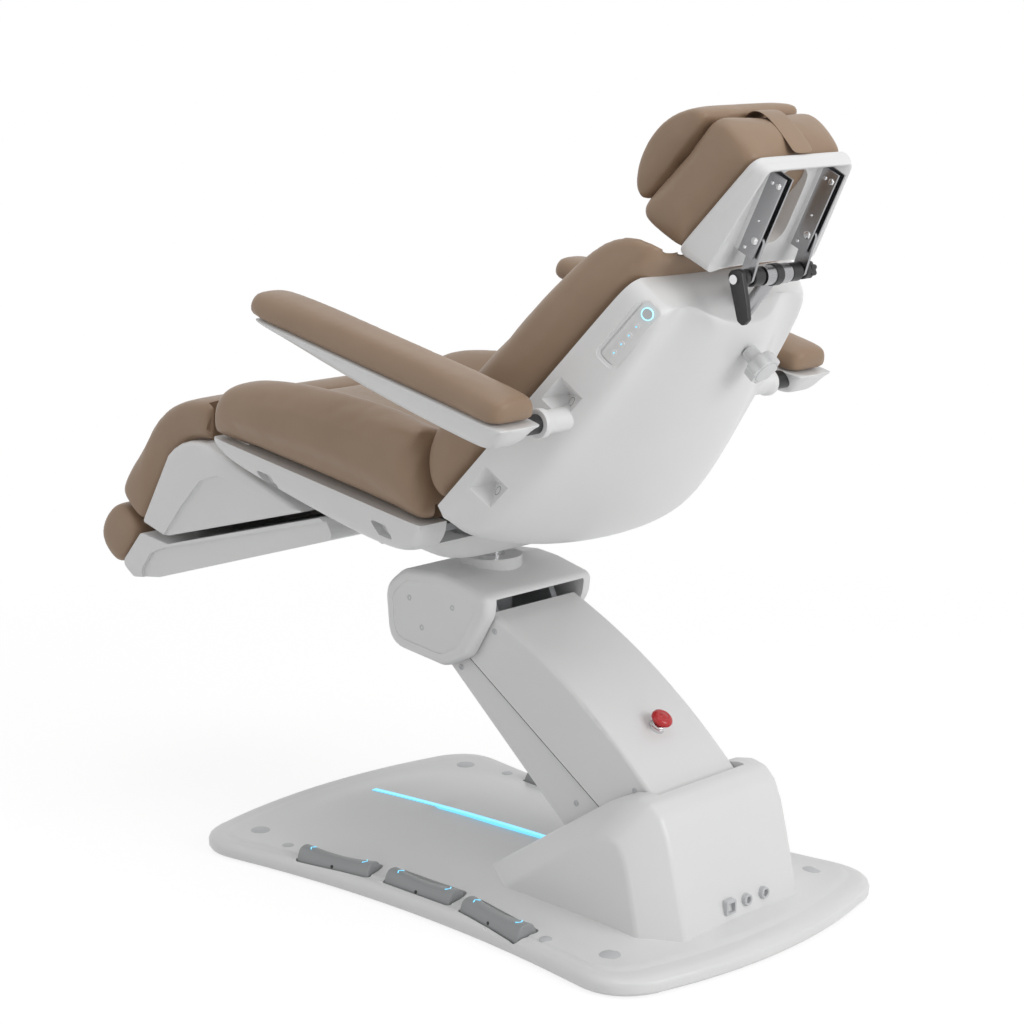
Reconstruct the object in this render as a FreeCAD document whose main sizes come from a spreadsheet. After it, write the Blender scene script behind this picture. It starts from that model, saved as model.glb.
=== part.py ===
import FreeCAD, Part
import Sketcher
import math
import os
import re

from FreeCAD import Placement, Rotation, Vector

# Driving sizes in millimetres and degrees. The floor is z = 0, the feet point to -Y and the head to +Y.
SIZES = [
    ("base_front_x", 345), ("base_front_y", 475), ("base_front_radius", 1055),
    ("base_rear_x", 338), ("base_rear_y", 480), ("base_rear_radius", 911),
    ("base_waist_radius", 2300), ("base_corner", 85), ("pan_bottom", 3), ("pan_top", 30),
    ("plate_inset", 18), ("plate_thick", 8), ("crown_top", 64), ("crown_width_radius", 1454),
    ("crown_length_radius", 7072), ("crown_centre", 60), ("dome_front", 455), ("dome_side", 285),
    ("dome_waist_radius", 1180), ("strip_front", -385), ("strip_rear", 45), ("strip_width", 10),
    ("foot_x", 252), ("foot_y", 404), ("foot_radius", 15), ("stud_radius", 6),
    ("tower_half", 140), ("tower_outer", 190), ("tower_slot", 106), ("tower_slot_rear", 372),
    ("pedal_length", 150), ("pedal_width", 42), ("pedal_height", 33), ("pedal_pin", 3),
    ("pedal_pivot_z", 24), ("pedal_dip_radius", 420), ("pedal_skew", 8.8),
    ("pedal_outer_y", 184), ("pedal_outer_x", 268), ("pedal_mid_y", 3), ("pedal_mid_x", 252),
    ("lift_angle", -33.4), ("lift_length", 430), ("lift_y", 325), ("lift_z", 185),
    ("link_y", 249), ("link_z", 161), ("lift_pin", 9), ("link_pin", 8), ("lug_inner", 64),
    ("lug_outer", 76),
    ("beam_half", 58), ("beam_wall", 10), ("arm_half", 102), ("arm_wall", 4), ("link_half", 96),
    ("trough_round", 10), ("pad_round", 14),
    ("arm_crown_radius", 1111), ("stop_along", -108), ("stop_base", 53.84), ("stop_collar", 14),
    ("stop_height", "=stop_base + (15 - stop_along)*(stop_along + lift_length - 12)/(2*arm_crown_radius)"),
    ("stop_head", 18), ("knuckle_half", 128), ("knuckle_inner", 105),
    ("swivel_ahead", 56.015), ("tilt_above", 178.293),
    ("swivel_y", "=lift_y - lift_length*cos(lift_angle) - swivel_ahead"),
    ("tilt_z", "=lift_z - lift_length*sin(lift_angle) + tilt_above"),
    ("swivel_radius", 22), ("collar_radius", 52), ("tilt_pin", 12),
    ("seat_angle", -9), ("seat_half", 292), ("pan_half", 286), ("seat_bottom", 62),
    ("back_behind", 190), ("back_above", 148), ("back_y", "=swivel_y + back_behind"),
    ("back_z", "=tilt_z + back_above"), ("back_angle", 49.5), ("back_pin", 10), ("hip_sweep", 95),
    ("back_bottom_half", 285), ("back_top_half", 198), ("back_edge", -24), ("back_shell_top", 408),
    ("shell_wall", 7), ("arm_boss_y", 176), ("arm_boss_z", -76), ("arm_boss_reach", 284),
    ("knee_ahead", 461), ("knee_below", 16), ("leg_y", "=swivel_y - knee_ahead"),
    ("leg_z", "=tilt_z - knee_below"),
    ("leg_angle", 52.8), ("leg_half", 250), ("knee_outer", 189), ("knee_sweep", 192), ("knee_gap", 3),
    ("knee_shell", 115), ("leg_pin", 10), ("rail_radius", 8), ("rail_x", 150), ("rail_z", 62),
    ("rest_inner", 304), ("rest_outer", 398), ("rest_angle", -12), ("rest_pivot", 15),
    ("post_radius", 11), ("post_depth", -102), ("rod_radius", 7), ("rod_along", 480),
    ("head_behind", 409), ("head_above", 354), ("joint_y", "=back_y + head_behind"),
    ("joint_z", "=back_z + head_above"), ("head_angle", 63.6), ("rivet_radius", 4),
    ("head_low_half", 133), ("head_top_half", 110), ("head_low", -58), ("head_top", 128),
    ("knob_along", 363), ("panel_along", 350), ("panel_depth", -71), ("panel_length", 118),
    ("panel_width", 34), ("ring_button", 9), ("small_button", 5),
]

doc = FreeCAD.newDocument("SpaChair")
sheet = doc.addObject("Spreadsheet::Sheet", "Sizes")
for row, (alias, number) in enumerate(SIZES, 1):
    sheet.set("A%d" % row, alias)
    sheet.set("B%d" % row, str(number))
    sheet.setAlias("B%d" % row, alias)
doc.recompute()

NAMES = set(alias for alias, number in SIZES)
WORD = re.compile(r"[a-z_][a-z_0-9]*")


def bound(text):
    """Point every driving size named in an expression at its cell."""
    return WORD.sub(lambda m: "Sizes." + m.group(0) if m.group(0) in NAMES else m.group(0), str(text))


def value(text):
    """The number that an expression of driving sizes gives."""
    return float(sheet.evalExpression(bound(text)))


def bind(item, prop, text):
    item.setExpression(prop, bound(text))


NODES = {}


def node(label, item):
    """Register a finished sub-part under the name of its file."""
    item.Label = label
    NODES[label] = item
    return item


def frame(item, y, z, angle):
    """Seat a sub-part drawn in a tilted frame: turned about X, then moved to its pivot."""
    turn = Rotation(Vector(1, 0, 0), value(angle))
    item.Placement = Placement(Vector(0, value(y), value(z)), turn)
    return item


def new(kind, name):
    return doc.addObject(kind, name)


def draw(sketch, points, circles=()):
    """Outline of lines and arcs through bound points; a third value is the arc's signed radius."""
    spots = [(value(p[0]), value(p[1])) for p in points]
    count = len(points)
    heads = []
    tails = []
    for i, point in enumerate(points):
        a = Vector(spots[i][0], spots[i][1], 0)
        b = Vector(spots[(i + 1) % count][0], spots[(i + 1) % count][1], 0)
        if len(point) == 2:
            edge = sketch.addGeometry(Part.LineSegment(a, b), False)
            heads.append((edge, 1))
            tails.append((edge, 2))
            continue
        radius = value(point[2])
        chord = b - a
        left = Vector(-chord.y, chord.x, 0).normalize()
        rise = math.sqrt(radius * radius - chord.Length ** 2 / 4)
        centre = (a + b) * 0.5 + left * (rise if radius > 0 else -rise)
        first, last = (a, b) if radius > 0 else (b, a)
        start = math.atan2(first.y - centre.y, first.x - centre.x)
        end = math.atan2(last.y - centre.y, last.x - centre.x)
        circle = Part.Circle(centre, Vector(0, 0, 1), abs(radius))
        edge = sketch.addGeometry(Part.ArcOfCircle(circle, start, end), False)
        heads.append((edge, 1 if radius > 0 else 2))
        tails.append((edge, 2 if radius > 0 else 1))
        index = sketch.addConstraint(Sketcher.Constraint("Radius", edge, abs(radius)))
        bind(sketch, "Constraints[%d]" % index, "abs(%s)" % point[2])
    for i in range(count):
        sketch.addConstraint(Sketcher.Constraint("Coincident", *tails[i], *heads[(i + 1) % count]))
        for kind, text, number in (("DistanceX", points[i][0], spots[i][0]),
                                   ("DistanceY", points[i][1], spots[i][1])):
            index = sketch.addConstraint(Sketcher.Constraint(kind, -1, 1, *heads[i], number))
            bind(sketch, "Constraints[%d]" % index, text)
    for u, v, radius in circles:
        centre = Vector(value(u), value(v), 0)
        edge = sketch.addGeometry(Part.Circle(centre, Vector(0, 0, 1), value(radius)), False)
        for kind, text in (("DistanceX", u), ("DistanceY", v)):
            index = sketch.addConstraint(Sketcher.Constraint(kind, -1, 1, edge, 3, value(text)))
            bind(sketch, "Constraints[%d]" % index, text)
        index = sketch.addConstraint(Sketcher.Constraint("Radius", edge, value(radius)))
        bind(sketch, "Constraints[%d]" % index, radius)
    return sketch


def plane_of(body, plane):
    return [item for item in body.Origin.OriginFeatures if item.Role == plane + "_Plane"][0]


def body_sketch(body, plane, points, circles=(), offset="0"):
    sketch = body.newObject("Sketcher::SketchObject", "Outline")
    sketch.AttachmentSupport = [(plane_of(body, plane), "")]
    sketch.MapMode = "FlatFace"
    sketch.AttachmentOffset = Placement(Vector(0, 0, value(offset)), Rotation())
    if offset != "0":
        bind(sketch, "AttachmentOffset.Base.z", offset)
    draw(sketch, points, circles)
    sketch.Visibility = False
    return sketch


def pad(body, plane, points, length, circles=(), offset="0", both=True, flip=False):
    feature = body.newObject("PartDesign::Pad", "Pad")
    feature.Profile = body_sketch(body, plane, points, circles, offset)
    bind(feature, "Length", length)
    feature.SideType = "Symmetric" if both else "One side"
    feature.Reversed = flip
    body.Tip = feature
    return feature


def pocket(body, plane, points, length, circles=(), offset="0", both=True, flip=False):
    feature = body.newObject("PartDesign::Pocket", "Pocket")
    feature.Profile = body_sketch(body, plane, points, circles, offset)
    bind(feature, "Length", length)
    feature.SideType = "Symmetric" if both else "One side"
    feature.Reversed = flip
    body.Tip = feature
    return feature


def mirrored(body, features):
    copy = body.newObject("PartDesign::Mirrored", "Mirrored")
    copy.Originals = features
    copy.MirrorPlane = (plane_of(body, "YZ"), [""])
    body.Tip = copy
    return copy


def round_off(body, radius, chosen):
    """Fillet the edges of the tip that the rule picks."""
    doc.recompute()
    tip = body.Tip
    picked = ["Edge%d" % i for i, edge in enumerate(tip.Shape.Edges, 1) if chosen(edge)]
    feature = body.newObject("PartDesign::Fillet", "Fillet")
    feature.Base = (tip, picked)
    bind(feature, "Radius", radius)
    body.Tip = feature
    return feature


def middle(edge):
    return edge.valueAt((edge.FirstParameter + edge.LastParameter) / 2)


def upright(edge):
    box = edge.BoundBox
    return box.ZLength > 1 and box.XLength < 0.01 and box.YLength < 0.01


def at_height(z):
    return lambda edge: abs(edge.BoundBox.ZMin - z) < 0.01 and abs(edge.BoundBox.ZMax - z) < 0.01


def at_side(x):
    return lambda edge: abs(abs(middle(edge).x) - x) < 0.01 and edge.BoundBox.XLength < 0.01


def body(name):
    return new("PartDesign::Body", name)


def bar(name, radius, length, start, along="X"):
    """Round bar along X, Y or Z from a start point."""
    item = new("Part::Cylinder", name)
    bind(item, "Radius", radius)
    bind(item, "Height", length)
    turn = {"X": Rotation(Vector(0, 1, 0), 90), "Y": Rotation(Vector(1, 0, 0), -90), "Z": Rotation()}[along]
    item.Placement = Placement(Vector(*[value(s) for s in start]), turn)
    for axis, text in zip("xyz", start):
        bind(item, "Placement.Base." + axis, text)
    return item


def block(name, low, high):
    item = new("Part::Box", name)
    for prop, a, b in zip(("Length", "Width", "Height"), low, high):
        bind(item, prop, "(%s) - (%s)" % (b, a))
    item.Placement = Placement(Vector(*[value(s) for s in low]), Rotation())
    for axis, text in zip("xyz", low):
        bind(item, "Placement.Base." + axis, text)
    return item


def group(name, items):
    item = new("Part::Compound", name)
    item.Links = items
    return item


def mirror(name, source):
    item = new("Part::Mirroring", name)
    item.Source = source
    item.Normal = Vector(1, 0, 0)
    return item


def pair(name, source):
    return group(name, [source, mirror(name + "Right", source)])


def cut(name, base, tools):
    item = new("Part::Cut", name)
    item.Base = base
    item.Tool = tools[0] if len(tools) == 1 else group(name + "Tools", tools)
    return item


def fuse(name, items):
    item = new("Part::MultiFuse", name)
    item.Shapes = items
    return item


def common(name, base, tool):
    item = new("Part::Common", name)
    item.Base = base
    item.Tool = tool
    return item


def prism(name, points, half_low, half_high, circles=()):
    """Profile in YZ carried from one X to another."""
    item = body(name)
    pad(item, "YZ", points, "(%s) - (%s)" % (half_high, half_low), circles, half_low, both=False)
    return item


def shape(name, solid):
    item = new("Part::Feature", name)
    item.Shape = solid
    return item


def arc(a, b, c):
    return Part.Arc(Vector(*a), Vector(*b), Vector(*c)).toShape()


def line(a, b):
    return Part.makeLine(Vector(*a), Vector(*b))


def loft(wires):
    return Part.makeLoft(wires, True, False)


# Base: floor plate with two uprights, pan, dome, tower, strip, feet, pedals.
def base_outline(inset):
    i = "(%s)" % inset
    return [("-base_front_x + %s" % i, "-base_front_y + %s" % i, "base_front_radius"),
            ("base_front_x - %s" % i, "-base_front_y + %s" % i, "-base_waist_radius"),
            ("base_rear_x - %s" % i, "base_rear_y - %s" % i, "base_rear_radius"),
            ("-base_rear_x + %s" % i, "base_rear_y - %s" % i, "-base_waist_radius")]


plate = body("FloorPlate")
pad(plate, "XY", base_outline("plate_inset"), "plate_thick", both=False)
round_off(plate, "base_corner - plate_inset", upright)
UPRIGHT = [("275", "plate_thick"), ("430", "plate_thick"), ("400", "120"), ("360", "215"), ("300", "215"),
           ("228", "184"), ("226", "146"), ("262", "100")]
PIVOTS = [("lift_y", "lift_z", "lift_pin"), ("link_y", "link_z", "link_pin")]
side = pad(plate, "YZ", UPRIGHT, "lug_outer - lug_inner", PIVOTS, "lug_inner", both=False)
mirrored(plate, [side])
FEET = [("foot_x", "foot_y"), ("-foot_x", "foot_y"), ("foot_x", "-foot_y"), ("-foot_x", "-foot_y")]
foot_wells = [bar("FootWell", "foot_radius + 1", "4", (x, y, "0"), "Z") for x, y in FEET]
foot_holes = [bar("FootHole", "stud_radius + 0.3", "30", (x, y, "0"), "Z") for x, y in FEET]
node("base_frame", cut("BaseFrame", plate, foot_wells + foot_holes))

feet = []
for x, y in FEET:
    feet.append(fuse("Foot", [bar("FootPad", "foot_radius", "3.8", (x, y, "0"), "Z"),
                              bar("FootStud", "stud_radius", "25", (x, y, "0"), "Z")]))
node("levelling_feet", group("Feet", feet))

pan = body("BasePan")
pad(pan, "XY", base_outline("0"), "pan_top - pan_bottom", offset="pan_bottom", both=False)
round_off(pan, "base_corner", upright)
round_off(pan, "12", at_height(value("pan_top")))
under = body("PanRecess")
pad(under, "XY", base_outline("plate_inset - 0.5"), "plate_thick + 0.4", both=False)
round_off(under, "base_corner - plate_inset + 0.5", upright)
PEDALS = []
for hand, sign in (("left", "1"), ("right", "-1")):
    for number, (x, y, skew) in enumerate((("pedal_outer_x", "-pedal_outer_y", "pedal_skew"),
                                           ("pedal_mid_x", "pedal_mid_y", "0"),
                                           ("pedal_outer_x", "pedal_outer_y", "-pedal_skew")), 1):
        turn = value(skew) * value(sign)
        spot = Placement(Vector(value(x) * value(sign), value(y), value("pedal_pivot_z")),
                         Rotation(Vector(0, 0, 1), turn))
        PEDALS.append(("pedal_%s_%d" % (hand, number), spot))
wells = []
pins = []
for name, spot in PEDALS:
    well = block("PedalWell", ("-pedal_width/2 - 2", "-pedal_length/2 - 3", "-11.5"),
                 ("pedal_width/2 + 2", "pedal_length/2 + 3", "40"))
    wells.append(group("PedalWellAt", [well]))
    wells[-1].Placement = spot
    pin = bar("PedalPin", "pedal_pin", "pedal_width + 12", ("-pedal_width/2 - 6", "0", "0"))
    pins.append(group("PedalPinAt", [pin]))
    pins[-1].Placement = spot
    bed = body("Pedal")
    pad(bed, "XZ", [("-pedal_width/2", "-5"), ("pedal_width/2", "-5"), ("pedal_width/2", "3"),
                    ("pedal_width/5", "pedal_height - 5"), ("-pedal_width/5", "pedal_height - 5"),
                    ("-pedal_width/2", "3")], "pedal_length")
    round_off(bed, "5", at_height(value("pedal_height - 5")))
    dip = bar("PedalDip", "pedal_dip_radius", "pedal_width + 20",
              ("-pedal_width/2 - 10", "0", "pedal_height - 12 + pedal_dip_radius"))
    bore = bar("PedalBore", "pedal_pin + 0.05", "pedal_width + 20", ("-pedal_width/2 - 10", "0", "0"))
    rocker = node(name, cut("PedalRocker", bed, [dip, bore]))
    rocker.Placement = spot
stud_holes = [bar("StudHole", "stud_radius + 0.3", "27", (x, y, "0"), "Z") for x, y in FEET]
pin_holes = group("PinHoles", pins)
window = block("Window", ("-98", "125", "0"), ("98", "445", "90"))
node("base_pan", cut("Pan", cut("PanCut", pan, [under] + wells + stud_holes), [pin_holes, window]))
lift_pins = [bar("LiftPin", "lift_pin", "2*lug_outer + 8", ("-lug_outer - 4", "lift_y", "lift_z")),
             bar("LinkPin", "link_pin", "2*lug_outer + 8", ("-lug_outer - 4", "link_y", "link_z"))]
node("pivot_pins", group("PivotPins", lift_pins + pins))

crown = new("Sketcher::SketchObject", "CrownSection")
crown.Placement = Placement(Vector(0, value("crown_centre"), 0), Rotation(Vector(1, 0, 0), 90))
EDGE = "crown_top - 360*360/(2*crown_width_radius)"
draw(crown, [("-360", "-30"), ("360", "-30"), ("360", EDGE, "crown_width_radius"), ("-360", EDGE)])
crown_solid = new("Part::Revolution", "CrownSolid")
crown_solid.Source = crown
crown_solid.Axis = Vector(1, 0, 0)
crown_solid.Base = Vector(0, value("crown_centre"), value("crown_top - crown_length_radius"))
crown_solid.Angle = 11
crown_solid.Symmetric = True
crown_solid.Solid = True
dome = body("DomeOutline")
pad(dome, "XY", [("-dome_side", "-dome_front", "base_front_radius"),
                 ("dome_side", "-dome_front", "-dome_waist_radius"),
                 ("dome_side", "dome_front + 8", "base_rear_radius"),
                 ("-dome_side", "dome_front + 8",
                  "-dome_waist_radius")], "60", offset="pan_top", both=False)
round_off(dome, "70", upright)

inner_side = [("24", "pan_top"), ("24", "42"), ("298", "223"), ("349", "245"), ("402", "243"),
              ("431", "157"),
              ("460", "pan_top")]
outer_side = [("112", "pan_top"), ("112", "44"), ("288", "165"), ("345", "190"), ("374", "178"),
              ("388", "120"),
              ("405", "pan_top")]


def side_sketch(name, points, x):
    sketch = new("Sketcher::SketchObject", name)
    sketch.Placement = Placement(Vector(value(x), 0, 0), Rotation(Vector(1, 1, 1), 120))
    bind(sketch, "Placement.Base.x", x)
    draw(sketch, points)
    return sketch


flank = new("Part::Loft", "TowerFlank")
flank.Sections = [side_sketch("FlankIn", inner_side, "tower_half"),
                  side_sketch("FlankOut", outer_side, "tower_outer")]
flank.Solid = True
flank.Ruled = True
core = prism("TowerCore", inner_side, "-tower_half", "tower_half")
slot = prism("TowerSlot", [("-20", "0"), ("-20", "300"), ("tower_slot_rear", "300"),
                           ("tower_slot_rear", "236"),
                           ("396", "234"), ("423", "157"), ("450", "0")], "-tower_slot", "tower_slot")
tower = cut("TowerOpen", fuse("TowerOuter", [core, flank, mirror("TowerFlankRight", flank)]), [slot])
PORTS = [("30", "11"), ("-13", "9"), ("-56", "9")]
ports = []
for x, radius in PORTS:
    ports.append(cut("Port", bar("PortBarrel", radius, "24", (x, "438", "62"), "Y"),
                     [bar("PortMouth", "(%s) - 3" % radius, "12", (x, "451", "62"), "Y")]))
port_tools = [bar("PortHole", radius, "40", (x, "430", "62"), "Y") for x, radius in PORTS]
node("rear_ports", group("Ports", ports))
node("tower_cover", cut("Tower", tower, port_tools))
strip_box = block("StripBox", ("-strip_width/2", "strip_front", "44"),
                  ("strip_width/2", "strip_rear", "80"))
strip_lift = group("StripLift", [crown_solid])
strip_lift.Placement = Placement(Vector(0, 0, 0.8), Rotation())
node("led_strip", common("Strip", strip_lift, strip_box))
window_top = block("WindowTop", ("-100", "125", "20"), ("100", "450", "90"))
dome_solid = common("DomeSolid", crown_solid, dome)
node("base_dome", cut("Dome", dome_solid, [tower, window_top, strip_box] + port_tools))

# Lift: two equal parallel links carry the knuckle, which keeps level.
LIFT = ("lift_y", "lift_z", "lift_angle")
LINK = ("link_y", "link_z", "lift_angle")
beam = body("ArmBeam")
pad(beam, "YZ", [("18", "-13"), ("18", "14"), ("-20", "34"), ("-lift_length + 20", "34"),
                 ("-lift_length - 18", "14"), ("-lift_length - 18", "-13")], "2*beam_half",
    [("0", "0", "lift_pin + 0.05"), ("-lift_length", "0", "lift_pin + 0.05")])
pocket(beam, "YZ", [("40", "-30"), ("40", "27"), ("-lift_length - 40", "27"), ("-lift_length - 40", "-30")],
       "2*beam_half - 2*beam_wall")
stud_length = "2*arm_half - 2*arm_wall"
beam_studs = [bar("BeamStud", "6", stud_length, ("-arm_half + arm_wall", y, "22"))
              for y in ("-lift_length*0.465", "-lift_length*0.814")]
node("arm_frame", frame(group("ArmFrameFit", [fuse("ArmFrame", [beam] + beam_studs)]), *LIFT))

cover = body("ArmCover")
pad(cover, "YZ", [("15", "-36"), ("15", "58", "arm_crown_radius"), ("-lift_length + 12", "62"),
                  ("-lift_length + 4", "50"), ("-lift_length + 4", "-36")], "2*arm_half")
round_off(cover, "9", lambda e: abs(abs(middle(e).x) - value("arm_half")) < 0.01 and middle(e).z > 60)
pocket(cover, "YZ", [("30", "-60"), ("30", "54"), ("15", "54", "arm_crown_radius"),
                     ("-lift_length + 12", "58"),
                     ("-lift_length - 10", "58"), ("-lift_length - 10", "-60")], "2*arm_half - 2*arm_wall")
stop_hole = bar("StopHole", "stop_collar - 5", "50", ("0", "stop_along", "stop_height - 15"), "Z")
cover_hole = cut("ArmCoverHole", cover, [stop_hole])
node("arm_cover", frame(group("ArmCoverFit", [cover_hole]), *LIFT))
collar_outer = bar("StopCollarOuter", "stop_collar", "13.6", ("0", "stop_along", "stop_height + 3.4"), "Z")
collar_bore = bar("StopCollarBore", "stop_collar - 5", "60", ("0", "stop_along", "stop_height - 20"), "Z")
collar = cut("StopCollarRing", collar_outer, [collar_bore, cover])
collar_fit = group("StopCollarFit", [collar])
frame(collar_fit, *LIFT)
node("estop_collar", collar_fit)
stem = bar("StopStem", "stop_collar - 5.3", "22", ("0", "stop_along", "stop_height"), "Z")
cap = bar("StopCap", "stop_head", "12", ("0", "stop_along", "stop_height + 21"), "Z")
button = group("StopButton", [fuse("StopBody", [stem, cap])])
node("estop_button", frame(button, *LIFT))

rail = body("LinkBar")
pad(rail, "YZ", [("15", "-13"), ("15", "13"), ("-lift_length - 15", "13"), ("-lift_length - 15", "-13")],
    "2*beam_half", [("0", "0", "link_pin + 0.05"), ("-lift_length", "0", "link_pin + 0.05")])
pocket(rail, "YZ", [("40", "30"), ("-lift_length - 40", "30"), ("-lift_length - 40", "-10.5"),
                    ("40", "-10.5")],
       "2*beam_half - 2*beam_wall")
rail_stud = bar("RailStud", "6", "2*link_half - 2*arm_wall",
                ("-link_half + arm_wall", "-lift_length*0.488", "0"))
node("link_bar", frame(group("LinkBarFit", [fuse("LinkBarStud", [rail, rail_stud])]), *LINK))
guard = body("LinkCover")
pad(guard, "YZ", [("-18", "42"), ("-lift_length + 35", "42"), ("-lift_length + 35", "-19"), ("-73", "-59"),
                  ("-18", "-64")], "2*link_half")
pocket(guard, "YZ", [("0", "60"), ("-lift_length + 20", "60"), ("-lift_length + 20", "-14"), ("-73", "-54"),
                     ("0", "-60")], "2*link_half - 2*arm_wall")
node("link_cover", frame(guard, *LINK))


def hung(points):
    """Points given from the tilt pin, which the knuckle hangs below."""
    return [("swivel_y + (%g)" % y, "tilt_z + (%g)" % z) for y, z in points]


KNUCKLE = hung([(-83, -84), (-128, -119), (-119, -220), (13, -236), (65, -211), (111, -136), (116, -101),
                (40, -83), (-5, -78)])
housing = body("KnuckleHousing")
pad(housing, "YZ", KNUCKLE, "2*knuckle_half")
round_off(housing, "12", at_side(value("knuckle_half")))
pocket(housing, "YZ", hung([(-50, -250), (-106, -208), (-116, -126), (-75, -95), (-5, -90), (150, -114),
                            (150, -250)]), "2*knuckle_inner")
well = bar("SwivelWell", "36", "60", ("0", "swivel_y", "tilt_z - 120"), "Z")
node("knuckle_housing", cut("KnuckleShell", housing, [well]))
B_Y = "lift_y - lift_length*cos(lift_angle)"
B_Z = "lift_z - lift_length*sin(lift_angle)"
C_Y = "link_y - lift_length*cos(lift_angle)"
C_Z = "link_z - lift_length*sin(lift_angle)"
carrier = body("KnuckleFrame")
CHEEK = hung([(-48, -223), (-82, -160), (-60, -105), (62, -105), (90, -160), (82, -195), (50, -204),
              (5, -223)])
cheek = pad(carrier, "YZ", CHEEK, "lug_outer - lug_inner",
            [(B_Y, B_Z, "lift_pin"), (C_Y, C_Z, "link_pin")], "lug_inner", both=False)
mirrored(carrier, [cheek])
pad(carrier, "YZ", hung([(-60, -117), (-60, -105), (62, -105), (62, -117)]), "2*lug_inner + 2")
tube = bar("BearingTube", "35", "72", ("0", "swivel_y", "tilt_z - 162"), "Z")
bore = bar("BearingBore", "swivel_radius + 0.05", "120", ("0", "swivel_y", "tilt_z - 180"), "Z")
node("knuckle_frame", cut("Carrier", fuse("CarrierTube", [carrier, tube]), [bore]))
node("knuckle_pins", group("KnucklePins", [
    bar("UpperPin", "lift_pin", "2*lug_outer + 8", ("-lug_outer - 4", B_Y, B_Z)),
    bar("UpperLinkPin", "link_pin", "2*lug_outer + 8", ("-lug_outer - 4", C_Y, C_Z))]))
ring = cut("CollarRing", bar("CollarOuter", "collar_radius", "24", ("0", "swivel_y", "tilt_z - 90"), "Z"),
           [bar("CollarBore", "swivel_radius + 0.5", "80", ("0", "swivel_y", "tilt_z - 120"), "Z"),
            housing, tube])
node("swivel_bearing", ring)

# Swivel post and seat. The seat is drawn in its own frame about the tilt pin.
SEAT = ("swivel_y", "tilt_z", "seat_angle")
lugs = body("SwivelLugs")
pad(lugs, "YZ", hung([(-38, -40), (38, -40), (26, 20), (-26, 20)]), "12",
    [("swivel_y", "tilt_z", "tilt_pin + 0.05")], "30", both=False)
post = fuse("SwivelPost", [
    bar("SwivelShaft", "swivel_radius", "112", ("0", "swivel_y", "tilt_z - 154"), "Z"),
    bar("SwivelFlange", "52", "10", ("0", "swivel_y", "tilt_z - 46"), "Z"),
    lugs, mirror("SwivelLugsRight", lugs)])
node("swivel_post", post)

chassis = body("SeatFrame")
pad(chassis, "YZ", [("-262", "40"), ("105", "40"), ("105", "52"), ("-262", "52")], "2*220")
pad(chassis, "YZ", [("-24", "46"), ("-22", "-20"), ("22", "-20"), ("24", "46")], "56",
    [("0", "0", "tilt_pin")])
leg_arm = pad(chassis, "YZ", [("-200", "52"), ("-258", "52"), ("-465", "-72"), ("-473", "-88"),
                              ("-464", "-106"),
                              ("-440", "-108"), ("-230", "16"), ("-200", "40")], "12",
              [("-452.8", "-87.9", "leg_pin")], "216", both=False)
back_arm = pad(chassis, "YZ", [("60", "40"), ("128", "40"), ("150", "90"), ("186", "160"), ("182", "194"),
                               ("150", "196"), ("140", "160"), ("104", "90"), ("60", "52")], "12",
               [("164.5", "175.9", "back_pin")], "180", both=False)
mirrored(chassis, [leg_arm, back_arm])
pocket(chassis, "XY", [("-170", "-235"), ("-60", "-235"), ("-60", "-60"), ("-170", "-60")], "200")
pocket(chassis, "XY", [("60", "-235"), ("170", "-235"), ("170", "-60"), ("60", "-60")], "200")
node("seat_frame", frame(chassis, *SEAT))
LEG_PIVOT = ("-452.8", "-87.9")
BACK_PIVOT = ("164.5", "175.9")
hinge = [bar("TiltPin", "tilt_pin", "90", ("-45", "0", "0"))]
for x in ("200", "-245"):
    hinge.append(bar("LegPin", "leg_pin", "45", (x,) + LEG_PIVOT))
for x in ("162", "-196"):
    hinge.append(bar("BackPin", "back_pin", "34", (x,) + BACK_PIVOT))
node("seat_pins", frame(group("SeatPins", hinge), *SEAT))

tray = body("SeatPan")
pad(tray, "YZ", [("-371", "61.5"), ("-371", "54"), ("-352", "38"), ("-133", "14"), ("12", "4"), ("91", "8"),
                 ("118", "28"), ("124", "61.5")], "2*pan_half")
round_off(tray, "16", lambda e: at_side(value("pan_half"))(e) and middle(e).z < 40)
pad(tray, "YZ", [("-112", "20"), ("-84", "-36"), ("70", "-36"), ("104", "20")], "2*180")
pocket(tray, "YZ", [("-358", "90"), ("-345", "48"), ("-133", "24"), ("12", "14"), ("86", "18"),
                    ("107", "32"),
                    ("112", "90")], "2*pan_half - 20")
pocket(tray, "YZ", [("-98", "40"), ("-76", "-28"), ("62", "-28"), ("92", "40")], "2*172")
mouth = bar("SwivelMouth", "86", "80", ("0", "0", "-60"), "Z")
leg_slots = [block("LegSlot", (x, "-350", "0"), ("(%s) + 20" % x, "-205", "45")) for x in ("212", "-232")]
back_slots = [block("BackSlot", (x, "52", "38"), ("(%s) + 18" % x, "140", "70")) for x in ("177", "-195")]
pull_hole = bar("PullHole", "4.05", "60", ("150", "-100", "-40"), "Z")
knee_room = bar("KneeRoom", "knee_sweep", "2*leg_half + 2*knee_gap", ("-leg_half - knee_gap",) + LEG_PIVOT)
pan_side = cut("PanSide", tray, [mouth, pull_hole, knee_room] + leg_slots + back_slots)
node("seat_pan", frame(group("PanFit", [pan_side]), *SEAT))


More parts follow.
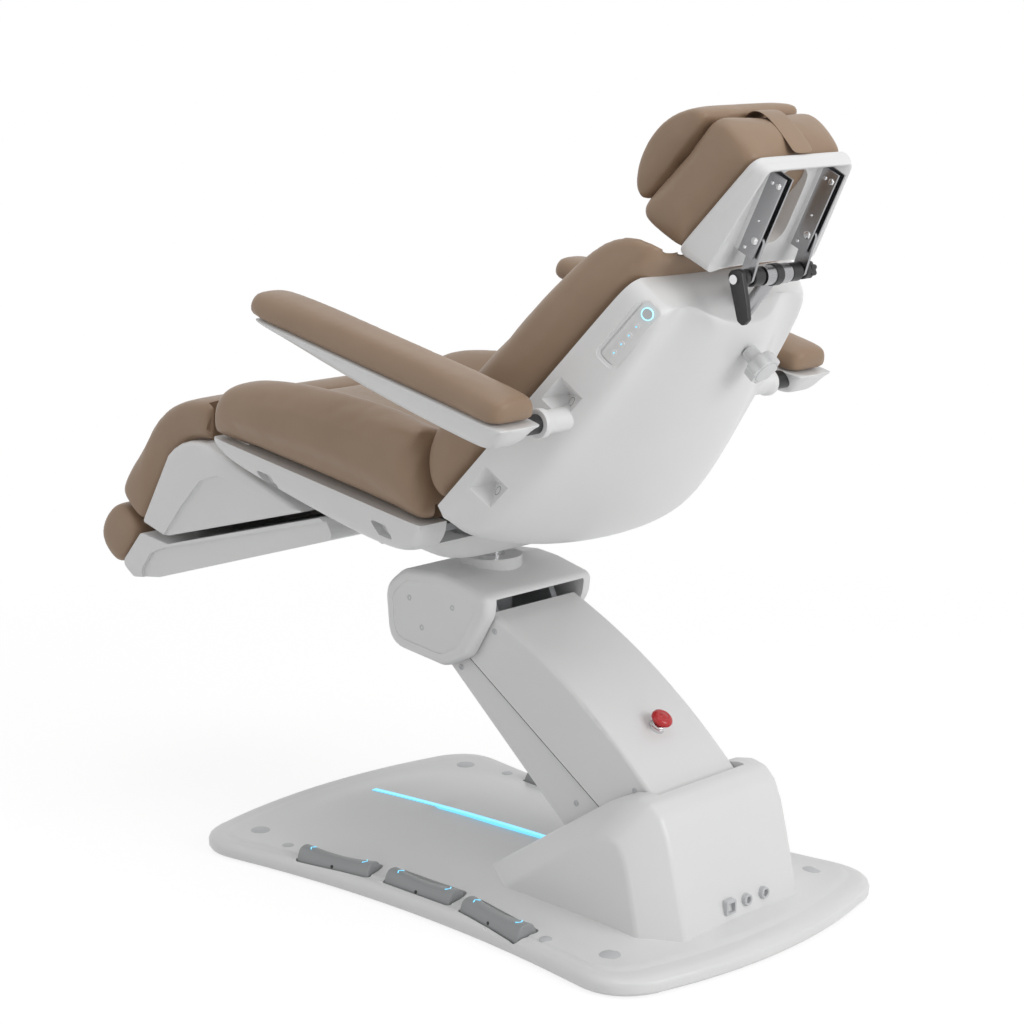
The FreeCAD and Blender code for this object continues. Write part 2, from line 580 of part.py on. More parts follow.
def cushion_section(y, half, low, rim, dip):
    """Section across a bolstered cushion: flat below, bulged sides, round bolsters, hollow middle."""
    p = [(-half + 16, y, low), (half - 16, y, low), (half - 20, y, rim - 10), (half - 92, y, rim - 14),
         (half - 140, y, dip), (-half + 140, y, dip), (-half + 92, y, rim - 14), (-half + 20, y, rim - 10)]
    mid_side = (low + rim) / 2
    edges = [line(p[0], p[1]), arc(p[1], (half, y, mid_side - 4), p[2]),
             arc(p[2], (half - 54, y, rim + 4), p[3]), line(p[3], p[4]),
             arc(p[4], (0, y, dip - 4), p[5]), line(p[5], p[6]),
             arc(p[6], (-half + 54, y, rim + 4), p[7]), arc(p[7], (-half, y, mid_side - 4), p[0])]
    return Part.Wire(edges)


half = value("seat_half")
low = value("seat_bottom")
seat_loft = loft([cushion_section(-374, half - 24, low, 142, 112),
                  cushion_section(-355, half - 6, low, 166, 124),
                  cushion_section(-200, half, low, 198, 130), cushion_section(-20, half, low, 210, 134),
                  cushion_section(122, half, low, 208, 138)])
seat_soft = shape("SeatSoft", seat_loft)
clear = bar("BackSweep", "hip_sweep", "700", ("-350",) + BACK_PIVOT)
frame_slots = [block("CushionSlot", (x, "50", "40"), ("(%s) + 18" % x, "190", "230"))
               for x in ("177", "-195")]
seat_cut = cut("SeatSoftCut", seat_soft, [clear, knee_room] + frame_slots)
node("seat_cushion", frame(group("SeatCushion", [seat_cut]), *SEAT))
pull = bar("PullStem", "4", "36", ("150", "-100", "-34"), "Z")
torus = new("Part::Torus", "PullLoop")
torus.Radius1 = 11
torus.Radius2 = 2.5
torus.Placement = Placement(Vector(150, -100, -45), Rotation(Vector(0, 1, 0), 90))
pull_all = fuse("PullAll", [pull, torus])
node("swivel_lock_ring", frame(group("PullFit", [pull_all]), *SEAT))

# Leg rest and foot rest, drawn about the knee pin.
LEG = ("leg_y", "leg_z", "leg_angle")
shin = body("LegShell")
pad(shin, "YZ", [("-138", "98"), ("15", "114", "-knee_shell"), ("106", "44.6"), ("186", "-196"),
                 ("-113", "37")],
    "2*leg_half", [("0", "0", "leg_pin + 0.05")])
pocket(shin, "YZ", [("-126", "90"), ("13", "106", "-knee_shell + 8"), ("98", "43"), ("240", "43"),
                    ("240", "-228"),
                    ("-106", "42")], "2*233")
lug_leg = pad(shin, "YZ", [("-22", "16"), ("18", "20"), ("30", "-10"), ("12", "-58"), ("-56", "-6")], "14",
              [("0", "0", "leg_pin + 0.05")], "198", both=False)
mirrored(shin, [lug_leg])
panel_cut = pad(body("LegPanel"), "YZ",
                [("-104", "74"), ("8", "88"), ("72", "34"), ("146", "-142"), ("-84", "38")],
                "20", offset="leg_half - 9", both=False)
leg_panel = panel_cut.getParentGeoFeatureGroup()
NOTCH = [("96.6", "20"), ("200", "40"), ("157.6", "123"), ("74", "58")]
notch = prism("KneeNotch", NOTCH, "212", "262")
guides = []
rail_holes = []
for x in ("rail_x", "-rail_x"):
    guides.append(bar("RailGuide", "rail_radius + 6", "52", (x, "-118", "rail_z"), "Y"))
    rail_holes.append(bar("RailHole", "rail_radius + 0.05", "200", (x, "-180", "rail_z"), "Y"))
shin_open = cut("ShinOpen", shin, [leg_panel, mirror("LegPanelRight", leg_panel), notch,
                                   mirror("KneeNotchRight", notch)])
shin_full = cut("ShinFull", fuse("ShinGuides", [shin_open] + guides), rail_holes)
node("leg_shell", frame(group("LegShellFit", [shin_full]), *LEG))
calf = body("LegCushion")
pad(calf, "YZ", [("-137", "185"), ("-4", "189", "-knee_outer"), ("170", "82"),
                 ("106.5", "44.9", "knee_shell + 0.6"),
                 ("15", "114.6"), ("-139", "98.6"), ("-151", "106")], "2*leg_half - 2")
round_off(calf, "24", lambda e: at_side(value("leg_half - 1"))(e) and middle(e).z > 150)
calf_cut = cut("CalfCut", calf, [notch, mirror("NotchRight", notch)])
node("leg_cushion", frame(group("LegCushionFit", [calf_cut]), *LEG))
sole = body("FootShell")
pad(sole, "YZ", [("-246", "99"), ("-160", "92"), ("-122", "26"), ("165", "-197"), ("150", "-238"),
                 ("-195", "12"),
                 ("-243", "60")], "2*leg_half - 4")
pocket(sole, "YZ", [("-176", "60"), ("-172", "8"), ("142", "-218"), ("220", "-218"), ("220", "-120"),
                    ("-110", "60")],
       "2*leg_half - 24")
rail_sockets = [bar("RailSocket", "rail_radius", "100", (x, "-232", "rail_z"), "Y")
                for x in ("rail_x", "-rail_x")]
node("foot_shell", frame(group("FootShellFit", [cut("SoleCut", sole, rail_sockets)]), *LEG))
rails = [bar("Rail", "rail_radius", "300", (x, "-232", "rail_z"), "Y") for x in ("rail_x", "-rail_x")]
node("foot_rails", frame(group("Rails", rails), *LEG))
toe = body("FootCushion")
pad(toe, "YZ", [("-250", "99.7"), ("-166", "92.8"), ("-158", "160"), ("-172", "181"), ("-235", "184"),
                ("-257", "160")], "2*leg_half")
round_off(toe, "20", lambda e: at_side(value("leg_half"))(e) and middle(e).z > 110)
node("foot_cushion", frame(toe, *LEG))

# Back: hull with a bulged middle, frame, cushion, control panel, armrest pivots.
BACK = ("back_y", "back_z", "back_angle")
HULL = [(-62, 1, 40, 62), (-20, 0.92, 112, 140), (80, 0.87, 122, 186), (200, 0.87, 118, 180),
        (320, 0.87, 110, 158),
        (408, 0.88, 100, 130)]


def back_half(y):
    """Half-width of the back at a height along it: it tapers from hips to shoulders."""
    span = value("back_shell_top") + 69
    return value("back_bottom_half") + (value("back_top_half") - value("back_bottom_half")) * (y + 69) / span


def hull_section(y, narrow, depth, belly, wall):
    edge = value("back_edge")
    w = back_half(y) - wall
    wb = back_half(y) * narrow - wall if narrow < 1 else w - 16
    wc = wb - 26
    top = edge + (0 if wall == 0 else 6)
    p = [(-w, y, top), (w, y, top), (wb, y, -depth + wall), (wc, y, -depth - 2 + wall),
         (-wc, y, -depth - 2 + wall), (-wb, y, -depth + wall)]
    edges = [line(p[0], p[1]), line(p[1], p[2]), line(p[2], p[3]), arc(p[3], (0, y, -belly + wall), p[4]),
             line(p[4], p[5]), line(p[5], p[0])]
    return Part.Wire(edges)


wall = value("shell_wall")
hull = shape("BackHull", loft([hull_section(y, n, d, b, 0) for y, n, d, b in HULL]))
inside = [(-62 + wall, 1, 46, 70)] + HULL[1:-1] + [(408 - wall, 0.88, 101, 132)]
hollow = shape("BackHollow", loft([hull_section(y, n, d, b, wall) for y, n, d, b in inside]))
REST = ("arm_boss_y", "arm_boss_z")
boss = []
for sign, name in ((1, "Left"), (-1, "Right")):
    knob_boss = new("Part::Cone", "RestBoss" + name)
    bind(knob_boss, "Radius1", "2.2*rest_pivot")
    bind(knob_boss, "Radius2", "1.6*rest_pivot")
    bind(knob_boss, "Height", "arm_boss_reach - 232")
    knob_boss.Placement = Placement(Vector(232 * sign, value(REST[0]), value(REST[1])),
                                    Rotation(Vector(0, 1, 0), 90 * sign))
    boss.append(knob_boss)
rest_bores = [bar("RestBoreLeft", "rest_pivot", "80", ("arm_boss_reach - 56",) + REST),
              bar("RestBoreRight", "rest_pivot", "80", ("-arm_boss_reach - 24",) + REST)]
hinge_slots = [block("HingeSlot", (x, "-90", "-160"), ("(%s) + 32" % x, "18", "30"))
               for x in ("163", "-195")]
post_bore = bar("PostBore", "post_radius + 0.4", "60", ("0", "380", "post_depth"), "Y")
knob_bore = bar("KnobBore", "5", "60", ("0", "knob_along", "-170"), "Z")
slope_u = (value("back_top_half") - value("back_bottom_half")) / (value("back_shell_top") + 69)
slope_v = back_half(value("panel_along")) * (1 - 0.872) / (108 + value("back_edge"))
axis_u = Vector(slope_u, 1, 0).normalize()
axis_v = Vector(slope_v, 0, 1)
axis_n = axis_u.cross(axis_v).normalize()
axis_v = axis_n.cross(axis_u).normalize()
panel_x = back_half(value("panel_along")) + slope_v * (value("panel_depth") - value("back_edge"))
turn = FreeCAD.Matrix(axis_u.x, axis_v.x, axis_n.x, panel_x, axis_u.y, axis_v.y, axis_n.y,
                      value("panel_along"),
                      axis_u.z, axis_v.z, axis_n.z, value("panel_depth"), 0, 0, 0, 1)
PANEL = Placement(turn)
panel_box = block("PanelHole", ("-panel_length/2", "-panel_width/2", "-16"),
                  ("panel_length/2", "panel_width/2", "12"))
panel_hole = group("PanelHoleAt", [panel_box])
panel_hole.Placement = PANEL
hull_boss = cut("HullBoss", fuse("HullBosses", [cut("HullHollow", hull, [hollow])] + boss),
                rest_bores + hinge_slots + [post_bore, knob_bore, panel_hole])
node("back_shell", frame(group("BackShellFit", [hull_boss]), *BACK))

ladder = body("BackFrame")
stile = pad(ladder, "YZ", [("-22", "-14"), ("-14", "-24"), ("60", "-84"), ("320", "-84"),
                           ("320", "-44"), ("70", "-44"),
                           ("22", "14"), ("0", "22"), ("-18", "14")],
            "12", [("0", "0", "back_pin + 0.05")], "166",
            both=False)
mirrored(ladder, [stile])
for low_y in ("206", "306"):
    pad(ladder, "YZ", [(low_y, "-126"), (low_y + " + 12", "-126"), (low_y + " + 12", "-46"),
                       (low_y, "-46")], "60")
    pad(ladder, "YZ", [(low_y, "-84"), (low_y + " + 12", "-84"), (low_y + " + 12", "-46"),
                       (low_y, "-46")], "340")
guide = bar("PostGuide", "post_radius + 8", "112", ("0", "206", "post_depth"), "Y")
guide_bore = bar("PostGuideBore", "post_radius + 0.05", "200", ("0", "180", "post_depth"), "Y")
ladder_post = cut("LadderPost", fuse("LadderGuide", [ladder, guide]), [guide_bore])
node("back_frame", frame(group("LadderFit", [ladder_post]), *BACK))
shafts = [bar("RestShaftLeft", "rest_pivot", "102", ("arm_boss_reach - 56",) + REST),
          bar("RestShaftRight", "rest_pivot", "102", ("-arm_boss_reach - 46",) + REST)]
node("arm_pivots", frame(group("RestShafts", shafts), *BACK))

FRONT = [(-72, 20, -8, 10), (-58, 6, 30, 26), (0, 0, 66, 50), (148, 0, 82, 58), (300, 0, 70, 50),
         (416, 2, 46, 32),
         (478, 10, 12, 6)]
wires = []
for y, shrink, rim, dip in FRONT:
    w = back_half(y) - shrink
    low_side = value("back_edge") + 0.3
    p = [(-w + 4, y, low_side), (w - 4, y, low_side), (w - 10, y, rim - 14), (w - 44, y, rim),
         (w - 110, y, dip),
         (-w + 110, y, dip), (-w + 44, y, rim), (-w + 10, y, rim - 14)]
    if rim < 0:
        p = [(x, y, low_side + (0.6 * (z - low_side) if z > low_side else 0)) for x, y, z in p]
        p = [(x, y, max(z, low_side + (2 if i > 1 else 0))) for i, (x, y, z) in enumerate(p)]
    edges = [line(p[i], p[(i + 1) % 8]) for i in range(8)]
    wires.append(Part.Wire(edges))
soft_back = shape("BackSoft", loft(wires))
soft_slots = [block("SoftSlot", (x, "-95", "-60"), ("(%s) + 36" % x, "62", "28")) for x in ("161", "-197")]
soft_slots += [block("HipSlot", (x, "-95", "-60"), ("(%s) + 36" % x, "-18", "56")) for x in ("161", "-197")]
ORIGIN = Placement(Vector(0, value("back_y"), value("back_z")),
                   Rotation(Vector(1, 0, 0), value("back_angle")))
JOINT = ORIGIN.inverse().multVec(Vector(0, value("joint_y"), value("joint_z")))
scoop = common("HeadScoop", bar("HeadSweep", "205", "304", ("-152", "%.3f" % JOINT.y, "%.3f" % JOINT.z)),
               block("HeadSweepTop", ("-152", "200", "-6"), ("152", "700", "200")))
scoop_end = block("HeadScoopEnd", ("-152", "back_shell_top", "-60"), ("152", "600", "120"))
soft_cut = cut("BackSoftCut", soft_back, soft_slots + [scoop, scoop_end])
node("back_cushion", frame(group("BackCushion", [soft_cut]), *BACK))

panel = block("PanelPlate", ("-panel_length/2", "-panel_width/2", "-7"),
              ("panel_length/2", "panel_width/2", "-2"))
BUTTONS = [("ring_button", "40")] + [("small_button", "%d" % (14 - 18 * i)) for i in range(4)]
holes = [bar("ButtonHole", "%s + 0.3" % radius, "30", (u, "0", "-15"), "Z") for radius, u in BUTTONS]
panel_at = group("PanelAt", [cut("PanelFace", panel, holes)])
panel_at.Placement = PANEL
node("control_panel", frame(group("PanelFit", [panel_at]), *BACK))
for number, (radius, u) in enumerate(BUTTONS):
    name = "button_ring" if number == 0 else "button_%d" % number
    key = group("KeyAt", [bar("Key", radius, "9", (u, "0", "-9"), "Z")])
    key.Placement = PANEL
    node(name, frame(group("KeyFit", [key]), *BACK))
star = fuse("StarKnob", [bar("StarStem", "4.95", "44", ("0", "knob_along", "-182"), "Z")] + [
    bar("StarLobe", "7", "16", ("16*cos(%d)" % a, "knob_along + 16*sin(%d)" % a, "-190"), "Z")
    for a in range(0, 360, 45)] + [bar("StarCore", "17", "18", ("0", "knob_along", "-191"), "Z")])
node("headrest_knob", frame(group("StarFit", [star]), *BACK))

# Armrests: padded bars on the side pivots of the back.
HUB = ORIGIN.multVec(Vector(0, value("arm_boss_y"), value("arm_boss_z")))
for name, near, far in (("left", "rest_inner", "rest_outer"), ("right", "-rest_outer", "-rest_inner")):
    trough = body("RestShell")
    pad(trough, "YZ", [("-512", "15"), ("-508", "4"), ("-260", "-22"), ("-20", "-29"), ("30", "-20"),
                       ("56", "15")],
        "(%s) - (%s)" % (far, near), offset=near, both=False)
    round_off(trough, "trough_round", lambda e: (abs(e.BoundBox.XLength) < 0.01 and middle(e).z < 5))
    inner_x = "rest_inner - 1" if name == "left" else "-rest_inner - 29"
    socket = bar("RestSocket", "rest_pivot + 0.05", "30", (inner_x, "0", "0"))
    fit = group("RestShellFit", [cut("RestShellCut", trough, [socket])])
    fit.Placement = Placement(HUB, Rotation(Vector(1, 0, 0), value("rest_angle")))
    node("arm_shell_" + name, fit)
    top = body("RestPad")
    pad(top, "YZ", [("-532", "15.3"), ("44", "15.3"), ("50", "40"), ("30", "58"), ("-500", "60", "26"),
                    ("-538", "30")],
        "(%s) - (%s) + 2" % (far, near), offset="%s - 1" % near, both=False)
    round_off(top, "pad_round", lambda e: (abs(e.BoundBox.XLength) < 0.01 and middle(e).z > 24))
    top.Placement = Placement(HUB, Rotation(Vector(1, 0, 0), value("rest_angle")))
    node("arm_pad_" + name, top)

# Headrest: post with a clamp sleeve, cross rod, link plates, channels, shell, cushion, pillow, lever.
tube_post = cut("PostTube", fuse("PostBody", [
    bar("PostOuter", "post_radius", "rod_along - 208", ("0", "208", "post_depth"), "Y"),
    bar("PostSleeve", "15", "60", ("-30", "rod_along", "post_depth"))]),
    [bar("PostInner", "post_radius - 3", "rod_along - 230", ("0", "200", "post_depth"), "Y"),
     bar("SleeveBore", "rod_radius", "80", ("-40", "rod_along", "post_depth"))])
node("head_post", frame(group("PostFit", [tube_post]), *BACK))
rod = bar("CrossRod", "rod_radius", "182", ("-88", "rod_along", "post_depth"))
node("head_rod", frame(group("RodFit", [rod]), *BACK))
ROD = ORIGIN.multVec(Vector(0, value("rod_along"), value("post_depth")))
reach = Vector(0, value("joint_y") - ROD.y, value("joint_z") - ROD.z)
link_turn = Rotation(Vector(1, 0, 0), math.degrees(math.atan2(reach.z, reach.y)))
link_plate = body("LinkPlate")
L = "%.3f" % reach.Length
pad(link_plate, "YZ", [("0", "12", "12.5"), ("0", "-12"), (L, "-11", "11.5"), (L, "11")], "5",
    [("0", "0", "rod_radius + 0.05")], "60", both=False)
rivet = bar("Rivet", "rivet_radius", "20", ("52.5", L, "0"))
plate_set = fuse("LinkPlateSet", [link_plate, rivet])
links = pair("LinkPair", plate_set)
links.Placement = Placement(ROD, link_turn)
node("head_links", links)
HEAD = ("joint_y", "joint_z", "head_angle")
web = fuse("Channel", [block("ChannelWeb", ("53", "-26", "16.5"), ("72", "104", "20")),
                       block("ChannelIn", ("53", "-26", "-9"), ("56.5", "104", "20")),
                       block("ChannelOut", ("68.5", "-26", "-9"), ("72", "104", "20"))])
channel = cut("ChannelBored", web, [bar("RivetBore", "rivet_radius + 0.05", "40", ("45", "0", "0"))])
node("head_channels", frame(pair("ChannelPair", channel), *HEAD))
carrier_head = body("HeadShell")
pad(carrier_head, "XY", [("-head_low_half", "head_low"), ("head_low_half", "head_low"),
                         ("head_top_half", "head_top"),
                         ("-head_top_half", "head_top")], "20", offset="20", both=False)
round_off(carrier_head, "24", lambda e: e.BoundBox.ZLength > 19 and abs(middle(e).x) > 60)
round_off(carrier_head, "7", at_height(20))
pocket(carrier_head, "XY", [("-36", "10", "36.6"), ("36", "10"), ("36", "64", "36.6"), ("-36", "64")],
       "100")
node("head_shell", frame(carrier_head, *HEAD))
bolster = body("HeadCushion")
pad(bolster, "YZ", [("-60", "40.3"), ("-74", "76"), ("-54", "166"), ("118", "132"), ("146", "110"),
                    ("130", "40.3")],
    "2*head_low_half + 4")
taper = []
for sign in (1, -1):
    low_x = "0" if sign > 0 else "-120"
    wedge = block("HeadTaper", (low_x, "-200", "0"), ("%s + 120" % low_x, "240", "260"))
    taper.append(group("HeadTaperAt", [wedge]))
    taper[-1].Placement = Placement(Vector((value("head_low_half") + 6) * sign, 0, 0),
                                    Rotation(Vector(0, 0, 1), 6.5 * sign))
tapered = cut("HeadTapered", bolster, taper)
doc.recompute()
soft_head = new("Part::Fillet", "HeadSoft")
soft_head.Base = tapered
soft_head.Edges = [(i, 18, 18) if e.BoundBox.ZMax > 41 else (i, 8, 8)
                   for i, e in enumerate(tapered.Shape.Edges, 1)]
node("head_cushion", frame(group("HeadCushionFit", [soft_head]), *HEAD))
roll = body("HeadPillow")
pad(roll, "YZ", [("-36", "162.8"), ("106", "134.7"), ("116", "150", "90"), ("-40", "184")],
    "2*head_low_half - 18")
round_off(roll, "12", lambda e: abs(e.BoundBox.XLength) < 0.01 and middle(e).z > 190)
node("head_pillow", frame(roll, *HEAD))
lever_body = body("HeadLever")
pad(lever_body, "YZ", [("-12", "6"), ("-10", "-58", "11"), ("10", "-58"), ("12", "6", "14")], "10",
    [("0", "0", "rod_radius + 0.05")], "78", both=False)
lever_body.Placement = Placement(ROD, Rotation(Vector(1, 0, 0), 14))
node("head_lever", lever_body)

# Actuators: motor housing, outer tube and rod of each, shown at rest length.
lift_drive = fuse("LiftDrive", [bar("LiftTube", "11", "250", ("0", "-300", "4"), "Y"),
                                block("LiftMotor", ("-20", "-130", "-10"), ("20", "-50", "24")),
                                block("LiftFoot", ("-12", "-320", "-8"), ("12", "-296", "27"))])
node("lift_actuator", frame(group("LiftDriveFit", [lift_drive]), *LIFT))
drives = []
for x, y in (("-115", "-40"), ("115", "-40")):
    drives.append(fuse("SeatDrive", [bar("SeatTube", "10", "128", (x, y, "29.5"), "Y"),
                                     block("SeatMotor", ("%s - 18" % x, "%s - 40" % y, "10"),
                                           ("%s + 18" % x, "%s + 30" % y, "39.9"))]))
node("seat_actuators", frame(group("SeatDrives", drives), *SEAT))

doc.recompute()
problems = []
for label, item in NODES.items():
    if "Invalid" in item.State or "Error" in item.State:
        problems.append("%s state %s" % (label, item.State))
    if item.Shape.isNull() or not item.Shape.isValid() or not item.Shape.Solids:
        problems.append("%s shape not valid" % label)
for item in doc.Objects:
    if "Invalid" in item.State or "Error" in item.State:
        problems.append("%s (%s) state %s" % (item.Name, item.Label, item.State))
if problems:
    raise RuntimeError("; ".join(problems))
os.makedirs("parts", exist_ok=True)
for label, item in NODES.items():
    item.Shape.exportStep("parts/%s.step" % label)
print("wrote", len(NODES), "nodes")
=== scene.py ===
# %% [markdown]
# # A spa treatment chair, dressed piece by piece
# The solids of the chair arrive already placed, in metres, with the floor at zero, the feet towards -Y
# and the head towards +Y. The lesson keeps the hidden steel as it is and models every shell, cushion and
# small fitting that the eye meets. Each visible piece rides on the body that carries it on the real
# chair.

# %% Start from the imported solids
import math
import bmesh
import bpy
from mathutils import Matrix, Vector


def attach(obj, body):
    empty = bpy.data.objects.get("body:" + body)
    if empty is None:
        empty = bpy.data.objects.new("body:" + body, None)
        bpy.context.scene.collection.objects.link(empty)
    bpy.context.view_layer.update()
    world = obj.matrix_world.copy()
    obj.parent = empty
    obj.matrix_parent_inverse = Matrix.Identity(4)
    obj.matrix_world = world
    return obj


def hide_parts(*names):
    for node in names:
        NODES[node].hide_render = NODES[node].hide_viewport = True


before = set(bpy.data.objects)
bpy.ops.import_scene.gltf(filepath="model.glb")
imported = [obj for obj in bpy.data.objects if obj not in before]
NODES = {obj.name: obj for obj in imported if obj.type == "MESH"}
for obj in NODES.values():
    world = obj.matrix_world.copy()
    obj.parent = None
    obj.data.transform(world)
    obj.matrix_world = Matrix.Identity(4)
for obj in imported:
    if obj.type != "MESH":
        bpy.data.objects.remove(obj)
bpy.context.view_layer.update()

# %% [markdown]
# ## Working frames
# Seat, back, leg rest, lift arm and headrest are each tilted. A piece is far easier to draw lying square,
# so each assembly gets a frame: the tilt about X at its own pivot. Sizes are written in millimetres, as
# on a maker's drawing, and the frame turns them into metres in their place.

# %% Frames of the assemblies
MILLIMETRES = Matrix.Diagonal((0.001, 0.001, 0.001, 1))
MIRROR = Matrix.Diagonal((-1, 1, 1, 1))
ARM_PIVOT = (0, 176, -76)

def at(x, y, z):
    return Matrix.Translation((x, y, z))

def about(axis, degrees):
    return Matrix.Rotation(math.radians(degrees), 4, axis)

def tilted(y, z, angle):
    return at(0, y / 1000, z / 1000) @ about("X", angle) @ MILLIMETRES

FLOOR = tilted(0, 0, 0)
LIFT = tilted(325, 185, -33.4)
SEAT = tilted(-90, 600, -9)
BACK = tilted(100, 748, 49.5)
LEG = tilted(-551, 584, 52.8)
HEAD = tilted(509, 1102, 63.6)
HUB = BACK @ Vector(ARM_PIVOT)
REST = tilted(HUB.y * 1000, HUB.z * 1000, -12)
ROD = BACK @ Vector((0, 480, -102))
print("armrest pivot", [round(v, 3) for v in HUB], "headrest rod", [round(v, 3) for v in ROD])

# %% [markdown]
# ## Finishes
# The upholstery is a brown leatherette: an even colour with a fine pebbled grain that shows as a soft
# break in the highlights. Noise and Voronoi textures on Object coordinates give the slow change of tone,
# the creases and the grain at their real size.

# %% Helpers for node finishes
def finish(name, colour, rough, metal=0.0):
    mat = bpy.data.materials.new(name)
    mat.use_nodes = True
    shader = mat.node_tree.nodes["Principled BSDF"]
    shader.inputs["Base Color"].default_value = (*colour, 1)
    shader.inputs["Roughness"].default_value = rough
    shader.inputs["Metallic"].default_value = metal
    return mat, mat.node_tree.nodes, mat.node_tree.links, shader

def texture(nodes, links, kind, scale, **settings):
    where = nodes.new("ShaderNodeTexCoord")
    tex = nodes.new(kind)
    tex.inputs["Scale"].default_value = scale
    for key, number in settings.items():
        tex.inputs[key.replace("_", " ").title()].default_value = number
    links.new(where.outputs["Object"], tex.inputs["Vector"])
    return tex

def ramp(nodes, links, source, stops):
    node = nodes.new("ShaderNodeValToRGB")
    while len(node.color_ramp.elements) < len(stops):
        node.color_ramp.elements.new(0.5)
    for element, (place, colour) in zip(node.color_ramp.elements, stops):
        element.position = place
        element.color = (*colour, 1)
    links.new(source, node.inputs["Fac"])
    return node

def bump(nodes, links, shader, source, strength, distance, under=None):
    node = nodes.new("ShaderNodeBump")
    node.inputs["Strength"].default_value = strength
    node.inputs["Distance"].default_value = distance
    links.new(source, node.inputs["Height"])
    if under:
        links.new(under.outputs["Normal"], node.inputs["Normal"])
    links.new(node.outputs["Normal"], shader.inputs["Normal"])
    return node

def rough_between(nodes, links, shader, source, low, high):
    node = nodes.new("ShaderNodeMapRange")
    node.inputs["To Min"].default_value = low
    node.inputs["To Max"].default_value = high
    links.new(source, node.inputs["Value"])
    links.new(node.outputs["Result"], shader.inputs["Roughness"])
    return node

# %% Brown leatherette
LEATHERETTE, nodes, links, shader = finish("brown_leatherette", (0.3, 0.203, 0.133), 0.5)
shader.inputs["Specular IOR Level"].default_value = 0.42
shader.inputs["Sheen Weight"].default_value = 0.08
cloud = texture(nodes, links, "ShaderNodeTexNoise", 9.0, detail=3.0)
tone = ramp(nodes, links, cloud.outputs["Fac"],
            [(0.35, (0.288, 0.194, 0.126)), (0.65, (0.312, 0.212, 0.14))])
links.new(tone.outputs["Color"], shader.inputs["Base Color"])
pebble = texture(nodes, links, "ShaderNodeTexVoronoi", 620.0)
crease = texture(nodes, links, "ShaderNodeTexNoise", 70.0, detail=5.0)
rough_between(nodes, links, shader, crease.outputs["Fac"], 0.38, 0.52)
deep = bump(nodes, links, shader, crease.outputs["Fac"], 0.06, 0.002)
bump(nodes, links, shader, pebble.outputs["Distance"], 0.16, 0.0004, deep)

# %% [markdown]
# The shells are white moulded plastic with a satin skin. Real mouldings have a faint orange peel and are
# not quite even in gloss, which is what a very low, wide bump and a slow roughness change give.

# %% White shell, greys, black, steel
def moulded(name, colour, rough, spread=0.06, peel=0.05):
    mat, nodes, links, shader = finish(name, colour, rough)
    patch = texture(nodes, links, "ShaderNodeTexNoise", 5.0, detail=2.0)
    rough_between(nodes, links, shader, patch.outputs["Fac"], rough - spread, rough + spread)
    shade = [tuple(c * k for c in colour) for k in (0.975, 1.0)]
    tone = ramp(nodes, links, patch.outputs["Fac"], [(0.3, shade[0]), (0.7, shade[1])])
    links.new(tone.outputs["Color"], shader.inputs["Base Color"])
    skin = texture(nodes, links, "ShaderNodeTexNoise", 420.0, detail=2.0)
    bump(nodes, links, shader, skin.outputs["Fac"], peel, 0.0003)
    return mat

def metal(name, colour, rough, stretch=(1, 1, 1), scale=260.0):
    mat, nodes, links, shader = finish(name, colour, rough, 1.0)
    where = nodes.new("ShaderNodeTexCoord")
    drag = nodes.new("ShaderNodeMapping")
    drag.inputs["Scale"].default_value = stretch
    links.new(where.outputs["Object"], drag.inputs["Vector"])
    lines = nodes.new("ShaderNodeTexNoise")
    lines.inputs["Scale"].default_value = scale
    lines.inputs["Detail"].default_value = 3.0
    links.new(drag.outputs["Vector"], lines.inputs["Vector"])
    rough_between(nodes, links, shader, lines.outputs["Fac"], rough * 0.75, rough * 1.3)
    bump(nodes, links, shader, lines.outputs["Fac"], 0.04, 0.0003)
    return mat

def glow(name, colour, strength):
    mat, nodes, links, shader = finish(name, colour, 0.3)
    shader.inputs["Emission Color"].default_value = (*colour, 1)
    shader.inputs["Emission Strength"].default_value = strength
    spots = texture(nodes, links, "ShaderNodeTexNoise", 160.0)
    rough_between(nodes, links, shader, spots.outputs["Fac"], 0.22, 0.4)
    return mat

WHITE = moulded("white_satin_shell", (0.76, 0.76, 0.76), 0.34)
PALE = moulded("pale_grey_panel", (0.56, 0.57, 0.58), 0.42)
# The star knob's white is darker than the shell white: painted shade, so the white knob stands apart from
# the white shell.
KNOB_WHITE_PAINTED_SHADE = moulded("knob_white_painted_shade", (0.68, 0.685, 0.69), 0.4)
PEDAL = moulded("pedal_grey", (0.31, 0.32, 0.325), 0.45, peel=0.12)
BLACK = moulded("black_fitting", (0.016, 0.016, 0.017), 0.42, peel=0.1)
RED = moulded("stop_red", (0.5, 0.018, 0.022), 0.25, peel=0.02)
COAT = moulded("grey_powder_coat", (0.3, 0.31, 0.32), 0.55, peel=0.25)
STEEL = metal("brushed_stainless", (0.4, 0.4, 0.41), 0.26, (1, 14, 14))
BRIGHT = metal("polished_pin", (0.7, 0.7, 0.71), 0.14)
CYAN = glow("light_strip", (0.18, 0.66, 0.95), 0.9)
RING_GLOW = glow("ring_glow", (0.4, 0.84, 1.0), 0.9)
print("finishes made:", len(bpy.data.materials))

# %% [markdown]
# ## Modelling helpers
# Most forms here are skins: a closed outline that travels through the piece and changes as it goes. One
# loop of edges is drawn, extruded again and again, and each new loop is moved onto its section. The last
# step is a Subdivision Surface, which turns the coarse cage into a smooth moulding; creased rows stay
# crisp.

# %% Cages, plates and turned parts
def settle(obj, mat, body):
    obj.data.materials.append(mat)
    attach(obj, body)
    return obj

